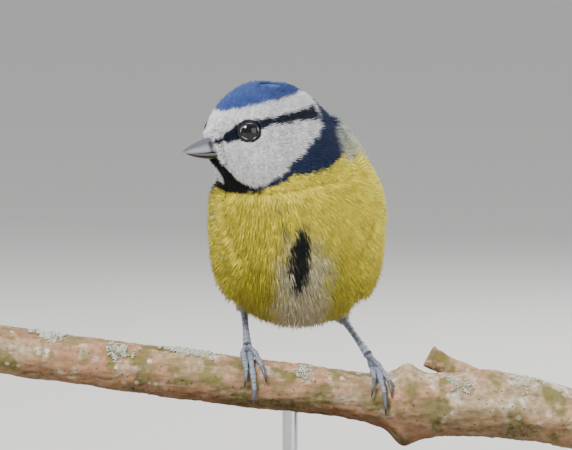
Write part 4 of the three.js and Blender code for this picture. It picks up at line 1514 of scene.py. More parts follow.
class Quills:
    """Builds rows of vanes on a folded wing."""

    STEPS = 22
    ACROSS = 9
    THICKNESS = 0.16
    WRIST = (0.0, -5.0, 3.0)
    DROP = 9.0

    def __init__(self, body: Body, colours: Palette) -> None:
        """Keeps the body that the wing lies on."""
        self.body = body
        self.colours = colours
        drop = math.radians(self.DROP)
        self.wrist = np.array(self.WRIST)
        self.way = np.array([0.0, math.cos(drop), -math.sin(drop)])
        self.up = np.array([0.0, math.sin(drop), math.cos(drop)])

    def place(self, side: int, along: Array, angle: Array, lift: Array) -> Array:
        """Returns points of the wing in the bird's frame."""
        start = self.wrist + along[..., None] * self.way
        a = np.radians(angle)
        way = np.cos(a)[..., None] * np.array([side, 0.0, 0.0]) + np.sin(a)[..., None] * self.up
        r = reach(self.body.wing_distance, start, way) + lift
        return start + way * r[..., None]

    def outline(self, t: Array, sharp: float) -> Array:
        """Returns the share of a vane's half width at shares of its length."""
        return np.minimum(1, 0.5 + 1.8 * t) * np.maximum(0.03, (1 - t ** (5 / sharp))) ** 0.55

    def vane(self, side: int, feather: Vane, patch: Sequence[float]) -> tuple[Surface, Array]:
        """Builds one vane.

        Args:
            side: 1 for the left wing and -1 for the right one.
            feather: Its place, size and colours.
            patch: Its share of the UV square.

        Returns:
            The closed surface and, for each point, its place across and along the vane.
        """
        t = np.linspace(0, 1, self.STEPS)
        s = np.linspace(-1, 1, self.ACROSS)
        along = feather.root[0] + (feather.tip[0] - feather.root[0]) * t
        angle = feather.root[1] + (feather.tip[1] - feather.root[1]) * t**1.4
        half = feather.width / 2 * self.outline(t, feather.sharp)
        height = feather.lift - 0.9 * (1 - t) ** 2
        radius = 11.0 + 4.0 * (1 - t)
        turn = np.degrees(half / radius)
        aa = angle[:, None] + turn[:, None] * s[None]
        back = 0.5 * np.abs(s)[None] ** 2 * half[:, None] * smooth(0.6, 1.0, t)[:, None]
        ll = np.broadcast_to(along[:, None], aa.shape) - back
        lift = height[:, None] - 0.16 * half[:, None] * s[None] + 0.14 * (1 - s[None] ** 2)
        ridge = 0.1 * np.exp(-(s[None] ** 2) * 60)
        faces = self.place(side, ll, aa, lift + ridge), self.place(side, ll, aa, lift - self.THICKNESS)
        across = np.concatenate([s, s[::-1]])
        colour = np.broadcast_to(np.array(feather.colour), (self.STEPS, len(across), 3))
        rim = np.broadcast_to(smooth(-0.35, -0.7, across)[None], colour.shape[:2])
        colour = mix(colour, feather.edge, rim)
        shaft = np.exp(-(across**2) * 40)[None] * np.ones((self.STEPS, 1))
        colour = mix(colour, (0.01, 0.01, 0.012), 0.55 * shaft)
        if feather.end is not None:
            share = smooth(feather.ends_at - 0.05, feather.ends_at + 0.03, t)[:, None]
            colour = mix(colour, feather.end, share * np.ones((1, len(across))))
        run = t * (feather.tip[0] - feather.root[0])
        return close_vane(self.body, side, faces, across, run, colour, patch)

    def rows(self) -> list[Vane]:
        """Lists every feather of a wing from the lowest tier to the top one."""
        dark, blue = self.colours.wing_dark, self.colours.wing
        pale_edge, green_edge = (0.3, 0.42, 0.6), (0.3, 0.4, 0.28)
        white, olive_blue = (0.78, 0.78, 0.74), (0.09, 0.14, 0.2)
        greater, greater_edge = (0.07, 0.145, 0.33), (0.09, 0.18, 0.4)
        median_edge, median_end = (0.085, 0.17, 0.38), (0.16, 0.27, 0.42)
        made = []

        def row(count: int, root: tuple, tips: tuple, width: float, lift: float, *looks: object) -> None:
            # Adds one tier: root and tips are length and angle of the first feather and then of the last
            low, high = np.array(root[:2]), np.array(root[2:])
            start, end = np.array(tips[:2]), np.array(tips[2:])
            for i in range(count):
                share = i / (count - 1)
                places = tuple(low + (high - low) * share), tuple(start + (end - start) * share)
                made.append(Vane(*places, width, lift, *looks))

        # Primaries and secondaries, then the three tertials
        for i, length in enumerate((50.5, 55, 58, 59, 58, 56, 53.5, 51, 49)):
            angle = 22 * i / 8
            places = (14.0, -13 + angle), (length, 8 + angle)
            made.append(Vane(*places, 4.0, 0.5 + 0.03 * i, dark, pale_edge, None, 1.9))
        row(6, (13, 11, 13, 30), (47.5, 34, 43, 54), 4.6, 0.8, dark, pale_edge, white, 1.0, 0.95)
        for i in range(3):
            places = (12, 33 + 11 * i), (41 - 5 * i, 59 + 9.5 * i)
            made.append(Vane(*places, 6.4, 1.0 + 0.12 * i, olive_blue, green_edge, white, 1.0, 0.9))
        # Primary coverts, greater coverts with the white bar, alula and median coverts
        row(4, (8, -17, 8, -7), (20, -13, 24, -2), 2.8, 0.85, blue, pale_edge, None, 1.5)
        row(10, (8, -5, 8, 50), (22.8, -1, 20, 57), 4.4, 1.05, greater, greater_edge, white, 0.8, 0.85)
        row(2, (3, -15, 3, -11), (14, -16, 16.5, -10), 3.0, 1.05, blue, pale_edge, None, 1.5)
        row(10, (3, -4, 3, 50), (13.2, -3, 13, 55), 3.9, 1.25, blue, median_edge, median_end, 0.8, 0.92)
        return made


class Wing(Quills):
    """A folded wing: its quills in tiers, its fleshy fore part and the small coverts on that."""

    CELLS = 8
    ARM_START = -1.5
    ARM_LENGTH = 18.5
    ARM_COLOUR = (0.06, 0.12, 0.26)
    FLANK_TUFTS = 1200
    MANTLE_TUFTS = 700
    COVERT_TUFTS = 900

    def build(self, side: int, vane_finish: Material, skin_finish: Material, coat: Coat) -> None:
        """Makes the wing's pieces.

        Args:
            side: 1 for the left wing and -1 for the right one.
            vane_finish: The quills' material.
            skin_finish: The material of the fore part.
            coat: What grows the small coverts.
        """
        name = side_name(side)
        vanes = [self.vane(side, one, patch_at(k, self.CELLS)) for k, one in enumerate(self.rows())]
        parts, own = zip(*vanes)
        made = make_object(f"quills_{name}", Surface.joined(parts), vane_finish)
        add_map(made, "Vane", np.vstack(own))
        place_part(made, "wing_feathers", f"wing_{name}")
        place_part(make_object(f"wing_arm_{name}", self.arm(side), skin_finish), "wing_feathers")
        self.small_coverts(side, coat)
        self.border_feathers(side, coat)

    @staticmethod
    def _stand(
        place: Callable, side: int, along: Array, turn: Array, lift: Array, climb: float, step: float
    ) -> tuple[Array, Array, Array]:
        """Returns places on the wing, and the ways back along it and out of it there."""
        root = place(side, along, turn, lift)
        lie = unit(place(side, along + 0.8, turn, lift + climb) - root)
        higher = place(side, along, turn + step, lift)
        return root, lie, unit(np.cross(lie, higher - root) * side)

    def border_feathers(self, side: int, coat: Coat) -> None:
        """Grows the flank's and the mantle's feathers that lie over the wing's fore edge and top edge."""
        rng = np.random.default_rng(SEED + 60 + side)
        flank, mantle = self.FLANK_TUFTS, self.MANTLE_TUFTS
        along = np.concatenate([rng.uniform(-5.0, 3.2, flank), rng.uniform(-3.0, 13.0, mantle)])
        angle = np.concatenate([rng.uniform(-48, 62, flank), rng.uniform(46, 72, mantle)])
        lift = np.clip(0.1 + 0.13 * (along + 5.0), 0.1, 1.15)
        root, lie, normal = self._stand(self.place, side, along, angle, lift - 0.5, 0.1, 2.0)
        droop = np.array([0.0, 0.0, -0.35]) * smooth(20, -10, angle)[:, None]
        way = unit(lie + droop + normal * 0.12 + 0.08 * rng.normal(size=root.shape))
        length = rng.uniform(3.6, 4.8, len(root))
        tint = varied(Markings(self.body, self.colours).at(root - normal * 1.2 - lie * 1.5), 0.14, rng)
        uv = np.stack([(along + 6) / 22, (angle + 60) / 150], -1)
        name = side_name(side)
        forms = coat.forms(f"border_{name}", TuftForm(strands=4, width=0.06, spread=0.28, curl=0.05))
        roots = Roots(root, way, normal, tuft_size(length, 0.95), tint, uv)
        coat.grow(f"coat_flank_{name}", "breast_feathers", forms, roots.in_row(self.body))

    def _arm_places(self, side: int, along: Array, across: Array, lift: Array) -> Array:
        t = (along - self.ARM_START) / self.ARM_LENGTH
        fullness = np.sin(math.pi * np.clip(t, 0, 1) ** 0.75) ** 0.6
        return self.place(side, along, 15 + 5 * t + 31 * fullness * across, lift * fullness)

    def arm(self, side: int) -> Surface:
        """Builds the flat cushion that carries the small coverts."""
        rings, sides = 26, 32
        t = (np.arange(rings) + 0.4) / (rings - 0.2)
        a = np.arange(sides) / sides * 2 * math.pi
        along = np.repeat((self.ARM_START + self.ARM_LENGTH * t)[:, None], sides, 1)
        thick = 0.2 + (0.45 + 0.6 * t[:, None]) * np.sin(a)[None]
        points = self._arm_places(side, along, np.cos(a)[None] * np.ones((rings, 1)), thick)
        if side < 0:
            points = points[:, ::-1]
        return tube(self.body.to_row(points), self.ARM_COLOUR)

    def small_coverts(self, side: int, coat: Coat) -> None:
        """Grows the small round coverts over the fore part of the wing."""
        rng = np.random.default_rng(SEED + 40 + side)
        count = self.COVERT_TUFTS
        along = -1.2 + 11.5 * rng.random(count) ** 0.9
        across = rng.uniform(-1, 1, count)
        lift = 0.45 + 0.03 * along
        root, lie, normal = self._stand(self._arm_places, side, along, across, lift, 0.02, 0.02)
        c = self.colours
        share = smooth(0.35, 0.8, across + 0.25 * rng.normal(size=count))
        tint = varied(mix(c.wing, c.wing_green, share), 0.12, rng)
        tint = mix(tint, c.wing_green, 0.6 * smooth(1.0, -1.0, along))
        length = rng.uniform(2.6, 3.6, count)
        way = unit(lie + normal * 0.16 + 0.06 * rng.normal(size=root.shape))
        uv = np.stack([(along + 5) / 22, (across + 1) / 2], -1)
        name = side_name(side)
        forms = coat.forms(f"covert_{name}", TuftForm(strands=6, width=0.14, spread=0.6, curl=0.1))
        roots = Roots(root, way, normal, tuft_size(length, 0.9), tint, uv)
        coat.grow(f"coverts_{name}", "wing_feathers", forms, roots.in_row(self.body))


def add_map(made: Object, name: str, uv: Array) -> None:
    """Adds a UV map from a pair for each vertex."""
    mesh = made.data
    index = np.empty(len(mesh.loops), np.int32)
    mesh.loops.foreach_get("vertex_index", index)
    layer = mesh.uv_layers.new(name=name)
    layer.data.foreach_set("uv", uv[index].astype(np.float32).ravel())


@dataclass(frozen=True)
class TailFeather:
    """One feather of the tail, measured from the tail's root, with the colours of its two vanes.

    The angle spreads it outwards, the offset is how far from the middle it ends, the height is its root's
    and the rise is how much higher its tip lies.
    """

    side: int
    start: float
    length: float
    angle: float
    offset: float
    height: float
    width: float
    rise: float
    colour: Colour
    edge: Colour
    sharp: float = 1.0


@dataclass(frozen=True)
class Tail:
    """Twelve long feathers in tiers, with the middle pair on top, and the coverts at their roots."""

    body: Body
    colours: Palette
    pitch: float = 13.0
    length: float = 49.0
    pairs: int = 6
    covert_pairs: int = 4
    step: float = 0.36
    root: Place = (0.0, 26.5, -6.1)
    steps: int = 26
    across: int = 9
    cells: int = 6
    thickness: float = 0.2
    inner: Colour = (0.035, 0.045, 0.065)
    outermost: Colour = (0.62, 0.64, 0.66)
    upper_covert: tuple[Colour, Colour] = ((0.1, 0.17, 0.24), (0.17, 0.25, 0.22))
    under_covert: tuple[Colour, Colour] = ((0.5, 0.48, 0.33), (0.55, 0.52, 0.36))

    def vane(self, one: TailFeather, patch: Sequence[float]) -> tuple[Surface, Array]:
        """Builds one feather of the tail.

        Args:
            one: Its place, size and colours.
            patch: Its share of the UV square.

        Returns:
            The closed surface and each point's place on the vane.
        """
        a = math.radians(self.pitch)
        sideways = np.array([1.0, 0, 0])
        way, up = np.array([0, math.cos(a), -math.sin(a)]), np.array([0, math.sin(a), math.cos(a)])
        t = np.linspace(0, 1, self.steps)
        s = np.linspace(-1, 1, self.across)
        half = one.width / 2 * np.minimum(1, 0.5 + 2 * t) * np.maximum(0.03, 1 - t ** (7 / one.sharp)) ** 0.5
        spread = one.offset * (0.45 + 0.55 * t) + one.length * t * math.sin(math.radians(one.angle))
        middle = np.array(self.root) + (one.start + one.length * t)[:, None] * way
        middle = middle + (one.height + one.rise * t)[:, None] * up
        middle = middle + (one.side * spread)[:, None] * sideways
        x = half[:, None] * s[None] * one.side
        back = 0.5 * np.abs(s)[None] ** 2 * half[:, None] * smooth(0.8, 1.0, t)[:, None]
        camber = 0.12 * (1 - s[None] ** 2) + 0.08 * np.exp(-(s[None] ** 2) * 60)
        top = middle[:, None] + x[..., None] * sideways + camber[..., None] * up
        top = top - back[..., None] * way
        across = np.concatenate([s, s[::-1]])
        tint = np.broadcast_to(np.array(one.colour), (self.steps, len(across), 3))
        tint = mix(tint, one.edge, np.broadcast_to(smooth(0.1, 0.45, across)[None], tint.shape[:2]))
        shaft = np.exp(-(across**2) * 60)[None] * np.ones((self.steps, 1))
        tint = mix(tint, (0.008, 0.008, 0.01), 0.7 * shaft)
        faces = top, top - self.thickness * up
        return close_vane(self.body, one.side, faces, across, t * one.length, tint, patch)

    def feathers(self) -> list[TailFeather]:
        """Lists the long feathers and then the coverts."""
        made, blue = [], self.colours.tail
        for i in range(self.pairs):
            for side in (1, -1):
                made.append(
                    TailFeather(
                        side=side,
                        start=0,
                        length=self.length - 1.6 + 0.3 * i,
                        angle=0.35 * i,
                        offset=0.9 + 0.55 * i,
                        height=0.9 - self.step * i - (0 if side > 0 else self.step / 3),
                        width=5.2,
                        rise=0.0,
                        colour=blue if i == 0 else self.inner,
                        edge=self.outermost if i == self.pairs - 1 else blue,
                    )
                )
        for i in range(self.covert_pairs):
            for side in (1, -1):
                shared = dict(side=side, angle=2.0 * i, offset=0.7 + 1.3 * i, width=3.8, sharp=1.4)
                upper = dict(start=-1 + 0.5 * i, length=18.5 - 2.5 * i, height=2.7 - 0.35 * i, rise=-1.1)
                under = dict(start=-1, length=22 - 3 * i, height=-3.2 + 0.4 * i, rise=1.5)
                for places, (colour, edge) in ((upper, self.upper_covert), (under, self.under_covert)):
                    made.append(TailFeather(**shared, **places, colour=colour, edge=edge))
        return made

    def build(self, finish: Material) -> None:
        """Makes the tail with its coverts."""
        vanes = [self.vane(one, patch_at(k, self.cells)) for k, one in enumerate(self.feathers())]
        parts, own = zip(*vanes)
        made = make_object("tail_quills", Surface.joined(parts), finish)
        add_map(made, "Vane", np.vstack(own))
        place_part(made, "tail_feathers", "tail")


# Branch


@dataclass(frozen=True)
class Branch:
    """The cut length of branch with its knot and the stub of a twig."""

    points: tuple[Place, ...] = (
        (-66.7, 0.6, 44.2),
        (-44.4, 0, 41.1),
        (-22.2, -0.2, 38.1),
        (-0.9, 0, 35.6),
        (12.2, 0.2, 34),
        (24.4, 0.4, 32.2),
        (35.6, 0.8, 31.6),
        (47.8, 1.4, 31.1),
        (56.7, 2, 29.6),
        (66.2, 2.6, 27.3),
    )
    stub_points: tuple[Place, ...] = ((44.9, 4, 33.8), (39.6, 5, 37.6), (34.9, 5.5, 39.8), (30.9, 5.5, 42))
    radius: float = 5.35
    knot_at: float = 0.69
    # Crusts of lichen: place along X, degrees towards the breast, spread along X, spread round, flakes
    crusts: tuple[tuple[float, float, float, float, int], ...] = (
        (-22.5, 12, 2.6, 9, 260),
        (-53.5, 22, 1.6, 10, 120),
        (-38.0, 50, 1.4, 12, 50),
        (3.0, 40, 1.2, 12, 40),
        (38.0, 35, 1.8, 12, 60),
        (52.0, 20, 2.0, 14, 80),
    )
    # Swellings round the knot: place, width and height
    lumps: tuple[tuple[Place, float, float], ...] = (
        ((26.2, -2.0, 39.5), 3.2, 2.0),
        ((24.9, -1.0, 24.6), 3.8, 2.3),
        ((31.0, -3.0, 23.6), 3.4, 1.0),
        ((44.0, 1.0, 39.6), 4.5, 1.0),
    )
    rings: int = 420
    sides: int = 96

    def line(self) -> Curve:
        """Returns the branch's middle line."""
        return Curve(self.points)

    def plain_radius(self, t: Array) -> Array:
        """Returns the radius without bark, at shares of the length."""
        swell = smooth(0.6, 0.72, t) * 1.75 - smooth(0.86, 1.0, t) * 0.9
        knot = 0.75 * np.exp(-(((t - self.knot_at) / 0.014) ** 2))
        return self.radius - 0.15 * np.cos(t * 9) + swell + knot

    def over(self, x: float, degrees: float, lift: float) -> Array:
        """Returns a place over the bark.

        Args:
            x: Place along X.
            degrees: Angle from the top towards the breast's side.
            lift: Height over the plain round branch.
        """
        line = self.line()
        share = float(np.interp(x, line.points[:, 0], line.shares))
        r = float(self.plain_radius(np.array(share))) + lift
        a = math.radians(degrees)
        return line.at(share) + np.array([0.0, -r * math.sin(a), r * math.cos(a)])

    @staticmethod
    def _lump(p: Array, at: Place, size: float, height: float) -> Array:
        away = np.linalg.norm(p - np.array(at), axis=-1)
        return height * np.exp(-((away / size) ** 2))

    def surface(self) -> Surface:
        """Builds the branch with its bark's relief, painted shade on its underside and in its hollows, and
        its two sawn ends.
        """
        line = self.line()
        t = np.linspace(0, 1, self.rings)
        radii = self.plain_radius(t)
        loops = rod_loops(line, radii, self.sides)
        middle = line.at(t)[:, None]
        out = unit(loops - middle)
        p = loops
        stretched = p * np.array([0.12, 0.5, 0.5])
        relief = 0.24 * layered_noise(stretched, 3, 31) + 0.14 * layered_noise(p * 0.8, 3, 41)
        wrinkles = 0.13 * layered_noise(p * np.array([0.35, 2.0, 2.0]), 3, 51)
        near_knot = np.exp(-(((t - self.knot_at) / 0.06) ** 2))[:, None]
        relief = relief + wrinkles + 0.55 * near_knot * layered_noise(p * 0.35, 2, 61)
        for lump in self.lumps:
            relief += self._lump(p, *lump)
        toes = np.exp(-(((p[..., 0] + 8.2) / 5.0) ** 2)) + np.exp(-(((p[..., 0] - 20.0) / 4.5) ** 2))
        relief = np.minimum(relief, 0.12 + 3.0 * (1 - np.clip(toes, 0, 1)))
        relief[0] = relief[-1] = 0
        loops = p + out * relief[..., None]
        # Painted shade: the bark's tint darkens towards the underside and in the low places of its relief
        under = smooth(0.35, -0.8, out[..., 2])
        shade_in_hollows = smooth(0.08, -0.3, relief)
        tint = mix((1.0, 0.98, 0.95), (0.3, 0.24, 0.15), np.clip(0.8 * under + 0.45 * shade_in_hollows, 0, 1))
        return tube(loops, tint)

    def stub(self) -> Surface:
        """Builds the broken twig behind the branch."""
        line = Curve(self.stub_points)
        t = np.linspace(0, 1, 70)
        radii = 2.9 - 0.9 * t + 0.55 * np.exp(-(((t - 1) / 0.14) ** 2))
        loops = rod_loops(line, radii, 40)
        out = unit(loops - line.at(t)[:, None])
        relief = 0.2 * layered_noise(loops * np.array([0.3, 0.8, 0.8]), 3, 71)
        loops = loops + out * relief[..., None]
        return tube(loops, (1.0, 0.86, 0.8))

    def build(self, finish: Material, coat: Coat) -> None:
        """Makes the branch and the crusts of lichen on it.

        Args:
            finish: The bark's material.
            coat: What scatters the lichen's flakes.
        """
        made = make_object("branch_bark", Surface.joined([self.surface(), self.stub()]), finish)
        place_part(made, "bark", "perch_branch")
        self.lichen(coat)

    def lichen(self, coat: Coat) -> None:
        """Scatters small pale flakes in a few crusts on the bark."""
        rng = np.random.default_rng(SEED + 5)
        line = self.line()
        share, turn = [], []
        for x, angle, length, width, count in self.crusts:
            share.append(np.interp(x + length * rng.normal(size=count), line.points[:, 0], line.shares))
            turn.append(np.radians(angle + width * rng.normal(size=count)))
        share, turn = np.concatenate(share), np.concatenate(turn)
        normal = np.stack([0 * turn, -np.sin(turn), np.cos(turn)], -1)
        root = line.at(share) + normal * (self.plain_radius(share) + 0.05)[:, None]
        along = unit(rng.normal(size=root.shape))
        along = unit(along - normal * (along * normal).sum(-1, keepdims=True) + 0.25 * normal)
        size = rng.uniform(0.5, 1.2, len(root))
        tint = mix((0.72, 0.74, 0.66), (0.5, 0.55, 0.4), rng.random(len(root)))
        forms = coat.forms("flake", TuftForm(strands=3, width=0.5, spread=0.9, curl=-0.1))
        uv = np.stack([share, turn / 7 + 0.5], -1)
        coat.grow("lichen", "bark", forms, Roots(root, along, normal, tuft_size(size, 1.0), tint, uv))


# Legs


@dataclass(frozen=True)
class Toe:
    """A toe on the branch: places along X, and angles from the branch's top, of root, end and claw tip."""

    x: Place
    turn: Place


@dataclass(frozen=True)
class Leg:
    """A leg from its feathered tibia to its claws, in the row's frame."""

    name: str
    heel: Place
    ankle: Place
    hip: Place
    toes: tuple[Toe, ...]
    body: Body
    branch: Branch
    shank_radius: float = 0.82
    toe_radius: float = 0.68
    gap: float = 0.3
    skin: Colour = (0.17, 0.19, 0.24)
    # pale is painted light on the front of the tarsus and the tops of the toes
    pale: Colour = (0.33, 0.36, 0.44)
    seam: Colour = (0.04, 0.045, 0.06)
    shank_scales: float = 8.0
    toe_scale: float = 0.85
    tufts: int = 1000

    def shank(self) -> Surface:
        """Builds the tarsus with the broad scales down its front."""
        heel, ankle = np.array(self.heel), np.array(self.ankle)
        way = unit(ankle - heel)
        line = Curve([heel + way * 0.2, heel + way * 5, ankle - way * 4, ankle])
        rings = 150
        t = np.linspace(0, 1, rings)
        radii = self.shank_radius * (1.22 - 0.38 * np.sin(math.pi * t) + 0.3 * np.exp(-((t / 0.08) ** 2)))
        loops = rod_loops(line, radii, 28)
        middle = line.at(t)[:, None]
        out = unit(loops - middle)
        front = smooth(-0.2, 0.6, (out * unit(np.array([0.0, -0.75, 0.6]))).sum(-1))
        scale = (t * self.shank_scales) % 1.0
        step = 0.09 * scale**2 - 0.07 * np.exp(-((scale - 0.02) / 0.04) ** 2)
        loops = loops + out * (step[:, None] * front)[..., None]
        # Painted light: the front of the tarsus, facing forward and up, is painted paler, most at each
        # scale's raised lower end; the dark seams between the scales are their own colour
        tint = mix(self.skin, self.pale, front * (0.35 + 0.65 * scale[:, None]))
        seam = np.exp(-((scale / 0.06) ** 2))[:, None] * front
        return tube(loops, mix(tint, self.seam, 0.8 * seam))

    def toe(self, toe: Toe) -> tuple[Surface, Surface]:
        """Builds one toe with its scales and pads, and its claw."""
        rest = self.toe_radius + self.gap
        points = [np.array(self.ankle)]
        for i in range(4):
            u = i / 3
            arch = 0.55 if i == 0 else 0.12 * (i % 2)
            at = toe.x[0] + (toe.x[1] - toe.x[0]) * u
            turn = toe.turn[0] + (toe.turn[1] - toe.turn[0]) * u
            points.append(self.branch.over(at, turn, rest + arch - 0.15))
        line = Curve(points)
        rings = 96
        t = np.linspace(0, 1, rings)
        pads = 1.04 - 0.24 * t + 0.12 * np.cos(t * 6 * math.pi)
        radii = self.toe_radius * pads * np.sqrt(np.clip(1.12 - t**14, 0.1, 1))
        loops = rod_loops(line, radii, 22)
        middle = line.at(t)[:, None]
        out = unit(loops - middle)
        ring_scale = (t * line.length / self.toe_scale) % 1.0
        upper = smooth(-0.1, 0.5, (out * unit(middle - self._core(middle))).sum(-1))
        step = 0.07 * ring_scale**2 - 0.06 * np.exp(-(((ring_scale - 0.02) / 0.06) ** 2))
        loops = loops + out * (step[:, None] * upper)[..., None]
        # Painted light: the upper side of each toe, away from the branch, is painted paler, most at each
        # scale's raised end; the dark seams are their own colour
        tint = mix(self.skin, self.pale, upper * (0.3 + 0.7 * ring_scale[:, None]))
        seam = np.exp(-((ring_scale / 0.08) ** 2))[:, None] * upper
        toe_skin = tube(loops, mix(tint, self.seam, 0.75 * seam))
        end, way = line.at(1.0), line.way(1.0)
        clearance = self.gap + 0.1
        halfway = (toe.x[1] + toe.x[2]) / 2, (toe.turn[1] + toe.turn[2]) / 2
        bow = self.branch.over(*halfway, clearance + 0.7)
        claw_line = Curve([end - way * 0.5, bow, self.branch.over(toe.x[2], toe.turn[2], clearance)])
        u = np.linspace(0, 1, 40)
        claw = rod_loops(claw_line, 0.52 * (1 - u) ** 0.7 + 0.03, 16)
        colour = mix((0.1, 0.105, 0.12), (0.02, 0.02, 0.024), smooth(0.35, 0.9, u))
        return toe_skin, tube(claw, np.repeat(colour[:, None], 16, 1))

    def _core(self, middle: Array) -> Array:
        line = self.branch.line()
        share = np.interp(middle[..., 0], line.points[:, 0], line.shares)
        return line.at(share)

    def build(self, skin: Material, horn: Material, coat: Coat) -> None:
        """Makes the leg's pieces.

        Args:
            skin: The material of tarsus and toes.
            horn: The material of the claws.
            coat: What grows the feathers of the tibia.
        """
        toes, claws = zip(*(self.toe(toe) for toe in self.toes))
        shank = make_object(f"shank_{self.name}", self.shank(), skin)
        place_part(shank, "leg_skin", f"tarsus_{self.name}")
        foot = make_object(f"toes_{self.name}", Surface.joined(toes), skin)
        place_part(foot, "leg_skin", f"foot_{self.name}")
        for k, claw in enumerate(claws, 1):
            made = make_object(f"nail_{self.name}_{k}", claw, horn)
            place_part(made, "claw_horn", f"claw_{self.name}_{k}")
        self.tibia(coat)

    def tibia(self, coat: Coat) -> None:
        """Builds the tibia's skin and the loose feathers on it."""
        heel, ankle, hip = np.array(self.heel), np.array(self.ankle), np.array(self.hip)
        way = unit(ankle - heel)
        inner = np.array(self.body.place) * 0.28 + hip * 0.72
        line = Curve([inner, hip, heel, heel + way * 1.6])
        t = np.linspace(0, 1, 40)
        sides = 24
        radii = 4.6 - 3.9 * np.minimum(1, t**1.1 * 1.1)
        loops = rod_loops(line, radii, sides)
        name = f"tibia_{self.name}"
        # The skin under the tufts is dark brown, as painted shade beneath them
        skin = make_object(f"{name}_skin", tube(loops, (0.3, 0.27, 0.2)), coat.material)
        place_part(skin, "tibia_feathers", f"thigh_{self.name}")
        rng = np.random.default_rng(SEED + len(self.name))
        u = rng.uniform(0.25, 0.97, self.tufts)
        a = rng.uniform(0, 2 * math.pi, self.tufts)
        i = u * (len(t) - 1)
        low = np.floor(i).astype(int)
        share = (i - low)[:, None]
        j = np.floor(a / (2 * math.pi) * sides).astype(int)
        root = loops[low, j] * (1 - share) + loops[np.minimum(low + 1, len(t) - 1), j] * share
        normal = unit(root - line.at(u))
        along = unit(line.way(u) + 0.22 * normal + 0.1 * rng.normal(size=root.shape))
        length = 3.4 - 1.7 * smooth(0.5, 1.0, u)
        # Painted shade: the feathers on the thigh's inner side, towards the body, are darker
        inside = smooth(-0.2, 0.6, -normal[:, 0] * (1 if self.name == "left" else -1))
        tint = varied(mix((0.62, 0.58, 0.45), (0.3, 0.25, 0.15), inside * 0.7), 0.12, rng)
        forms = coat.forms(f"{name}_form", TuftForm(strands=3, width=0.12, spread=0.3, curl=0.1))
        uv = np.stack([a / (2 * math.pi), u], -1)
        roots = Roots(root, along, normal, tuft_size(length, 0.8), tint, uv)
        coat.grow(f"coat_{name}", "tibia_feathers", forms, roots)


# Stand, room and camera


@dataclass(frozen=True)
class Stand:
    """A round turned base and one rod."""

    radius: float = 42.0
    height: float = 8.0
    chamfer: float = 1.5
    rod_radius: float = 1.7
    rod_gap: float = 0.3
    foot: float = 0.4

    @staticmethod
    def _turned(profile: Iterable[tuple[float, float]], sides: int) -> Surface:
        """Turns a profile of radius and height round the upright axis."""
        a = np.arange(sides) / sides * 2 * math.pi
        return tube(np.array([[(r * math.cos(x), r * math.sin(x), z) for x in a] for r, z in profile]))

    def build(self, wood: Material, steel: Material, rod_top: float) -> None:
        """Makes the base and the rod."""
        edge = []
        for a in np.linspace(0, math.pi / 2, 9):
            inset, drop = self.chamfer * (1 - math.cos(a)), self.chamfer * (1 - math.sin(a))
            edge.append((self.radius - inset, self.height - drop))
        start = [(self.radius - self.foot, 0.0), (self.radius, self.foot)]
        profile = [*start, *edge, (self.radius * 0.6, self.height)]
        base = make_object("base_disc", self._turned(profile, 128), wood, shade_smooth=False)
        place_part(base, "base_wood", "stand_base")
        low = self.height + self.rod_gap
        heights = (low, low + 0.01, rod_top - 0.01, rod_top)
        rod = self._turned([(self.rod_radius, z) for z in heights], 40)
        place_part(make_object("rod", rod, steel), "rod_steel", "stand_rod")


@dataclass(frozen=True)
class Light:
    """A square soft light that faces the bird: its place, its power in watts and its side."""

    name: str
    at: Place
    power: float
    size: float


@dataclass(frozen=True)
class Studio:
    """A pale floor, soft lights and the camera."""

    target: Place = (-0.9, 0.0, 71.6)
    frame_width: float = 127.1
    distance: float = 1500.0
    elevation: float = 3.0
    sensor: float = 36.0
    floor_half: float = 30000.0
    paper: Colour = (0.74, 0.72, 0.69)
    air: Colour = (0.95, 0.97, 1.0)
    air_strength: float = 0.62
    lights: tuple[Light, ...] = (
        Light("key", (-420, -620, 780), 14.0, 300),
        Light("fill", (700, -700, 300), 4.5, 700),
        Light("rim", (350, 650, 620), 7.0, 500),
    )

    def floor(self) -> None:
        """Makes the wide flat floor."""
        half = self.floor_half
        points = np.array([(-half, -half, 0.0), (half, -half, 0.0), (half, half, 0.0), (-half, half, 0.0)])
        faces = np.array([(0, 1, 2), (0, 2, 3)])
        surface = Surface(points, faces, np.ones((4, 3)), np.zeros((4, 2)))
        finish = PlainFinish("floor_paper", roughness=0.9, specular=0.2, colour=self.paper).make()
        make_object("floor", surface, finish)

    def light(self, light: Light) -> None:
        """Adds a light."""
        data = bpy.data.lights.new(light.name, "AREA")
        data.energy, data.size = light.power, light.size * MM
        made = bpy.data.objects.new(light.name, data)
        made.location = Vector(light.at) * MM
        made.rotation_mode = "QUATERNION"
        made.rotation_quaternion = (Vector(self.target) * MM - made.location).to_track_quat("-Z", "Y")
        bpy.context.scene.collection.objects.link(made)

    def build(self) -> None:
        """Makes the room, the lights and the camera."""
        self.floor()
        for light in self.lights:
            self.light(light)
        world = bpy.data.worlds.new("soft_room")
        world.use_nodes = True
        background = world.node_tree.nodes["Background"]
        background.inputs["Color"].default_value = (*self.air, 1.0)
        background.inputs["Strength"].default_value = self.air_strength
        bpy.context.scene.world = world
        data = bpy.data.cameras.new("camera")
        data.sensor_width = self.sensor
        data.lens = self.sensor * self.distance / self.frame_width
        camera = bpy.data.objects.new("camera", data)
        e = math.radians(self.elevation)
        back = Vector((0, -math.cos(e), math.sin(e)))
        camera.location = (Vector(self.target) + back * self.distance) * MM
        camera.rotation_mode = "QUATERNION"
        camera.rotation_quaternion = (-back).to_track_quat("-Z", "Y")
        data.clip_start, data.clip_end = 0.01, 100
        bpy.context.scene.collection.objects.link(camera)
        bpy.context.scene.camera = camera


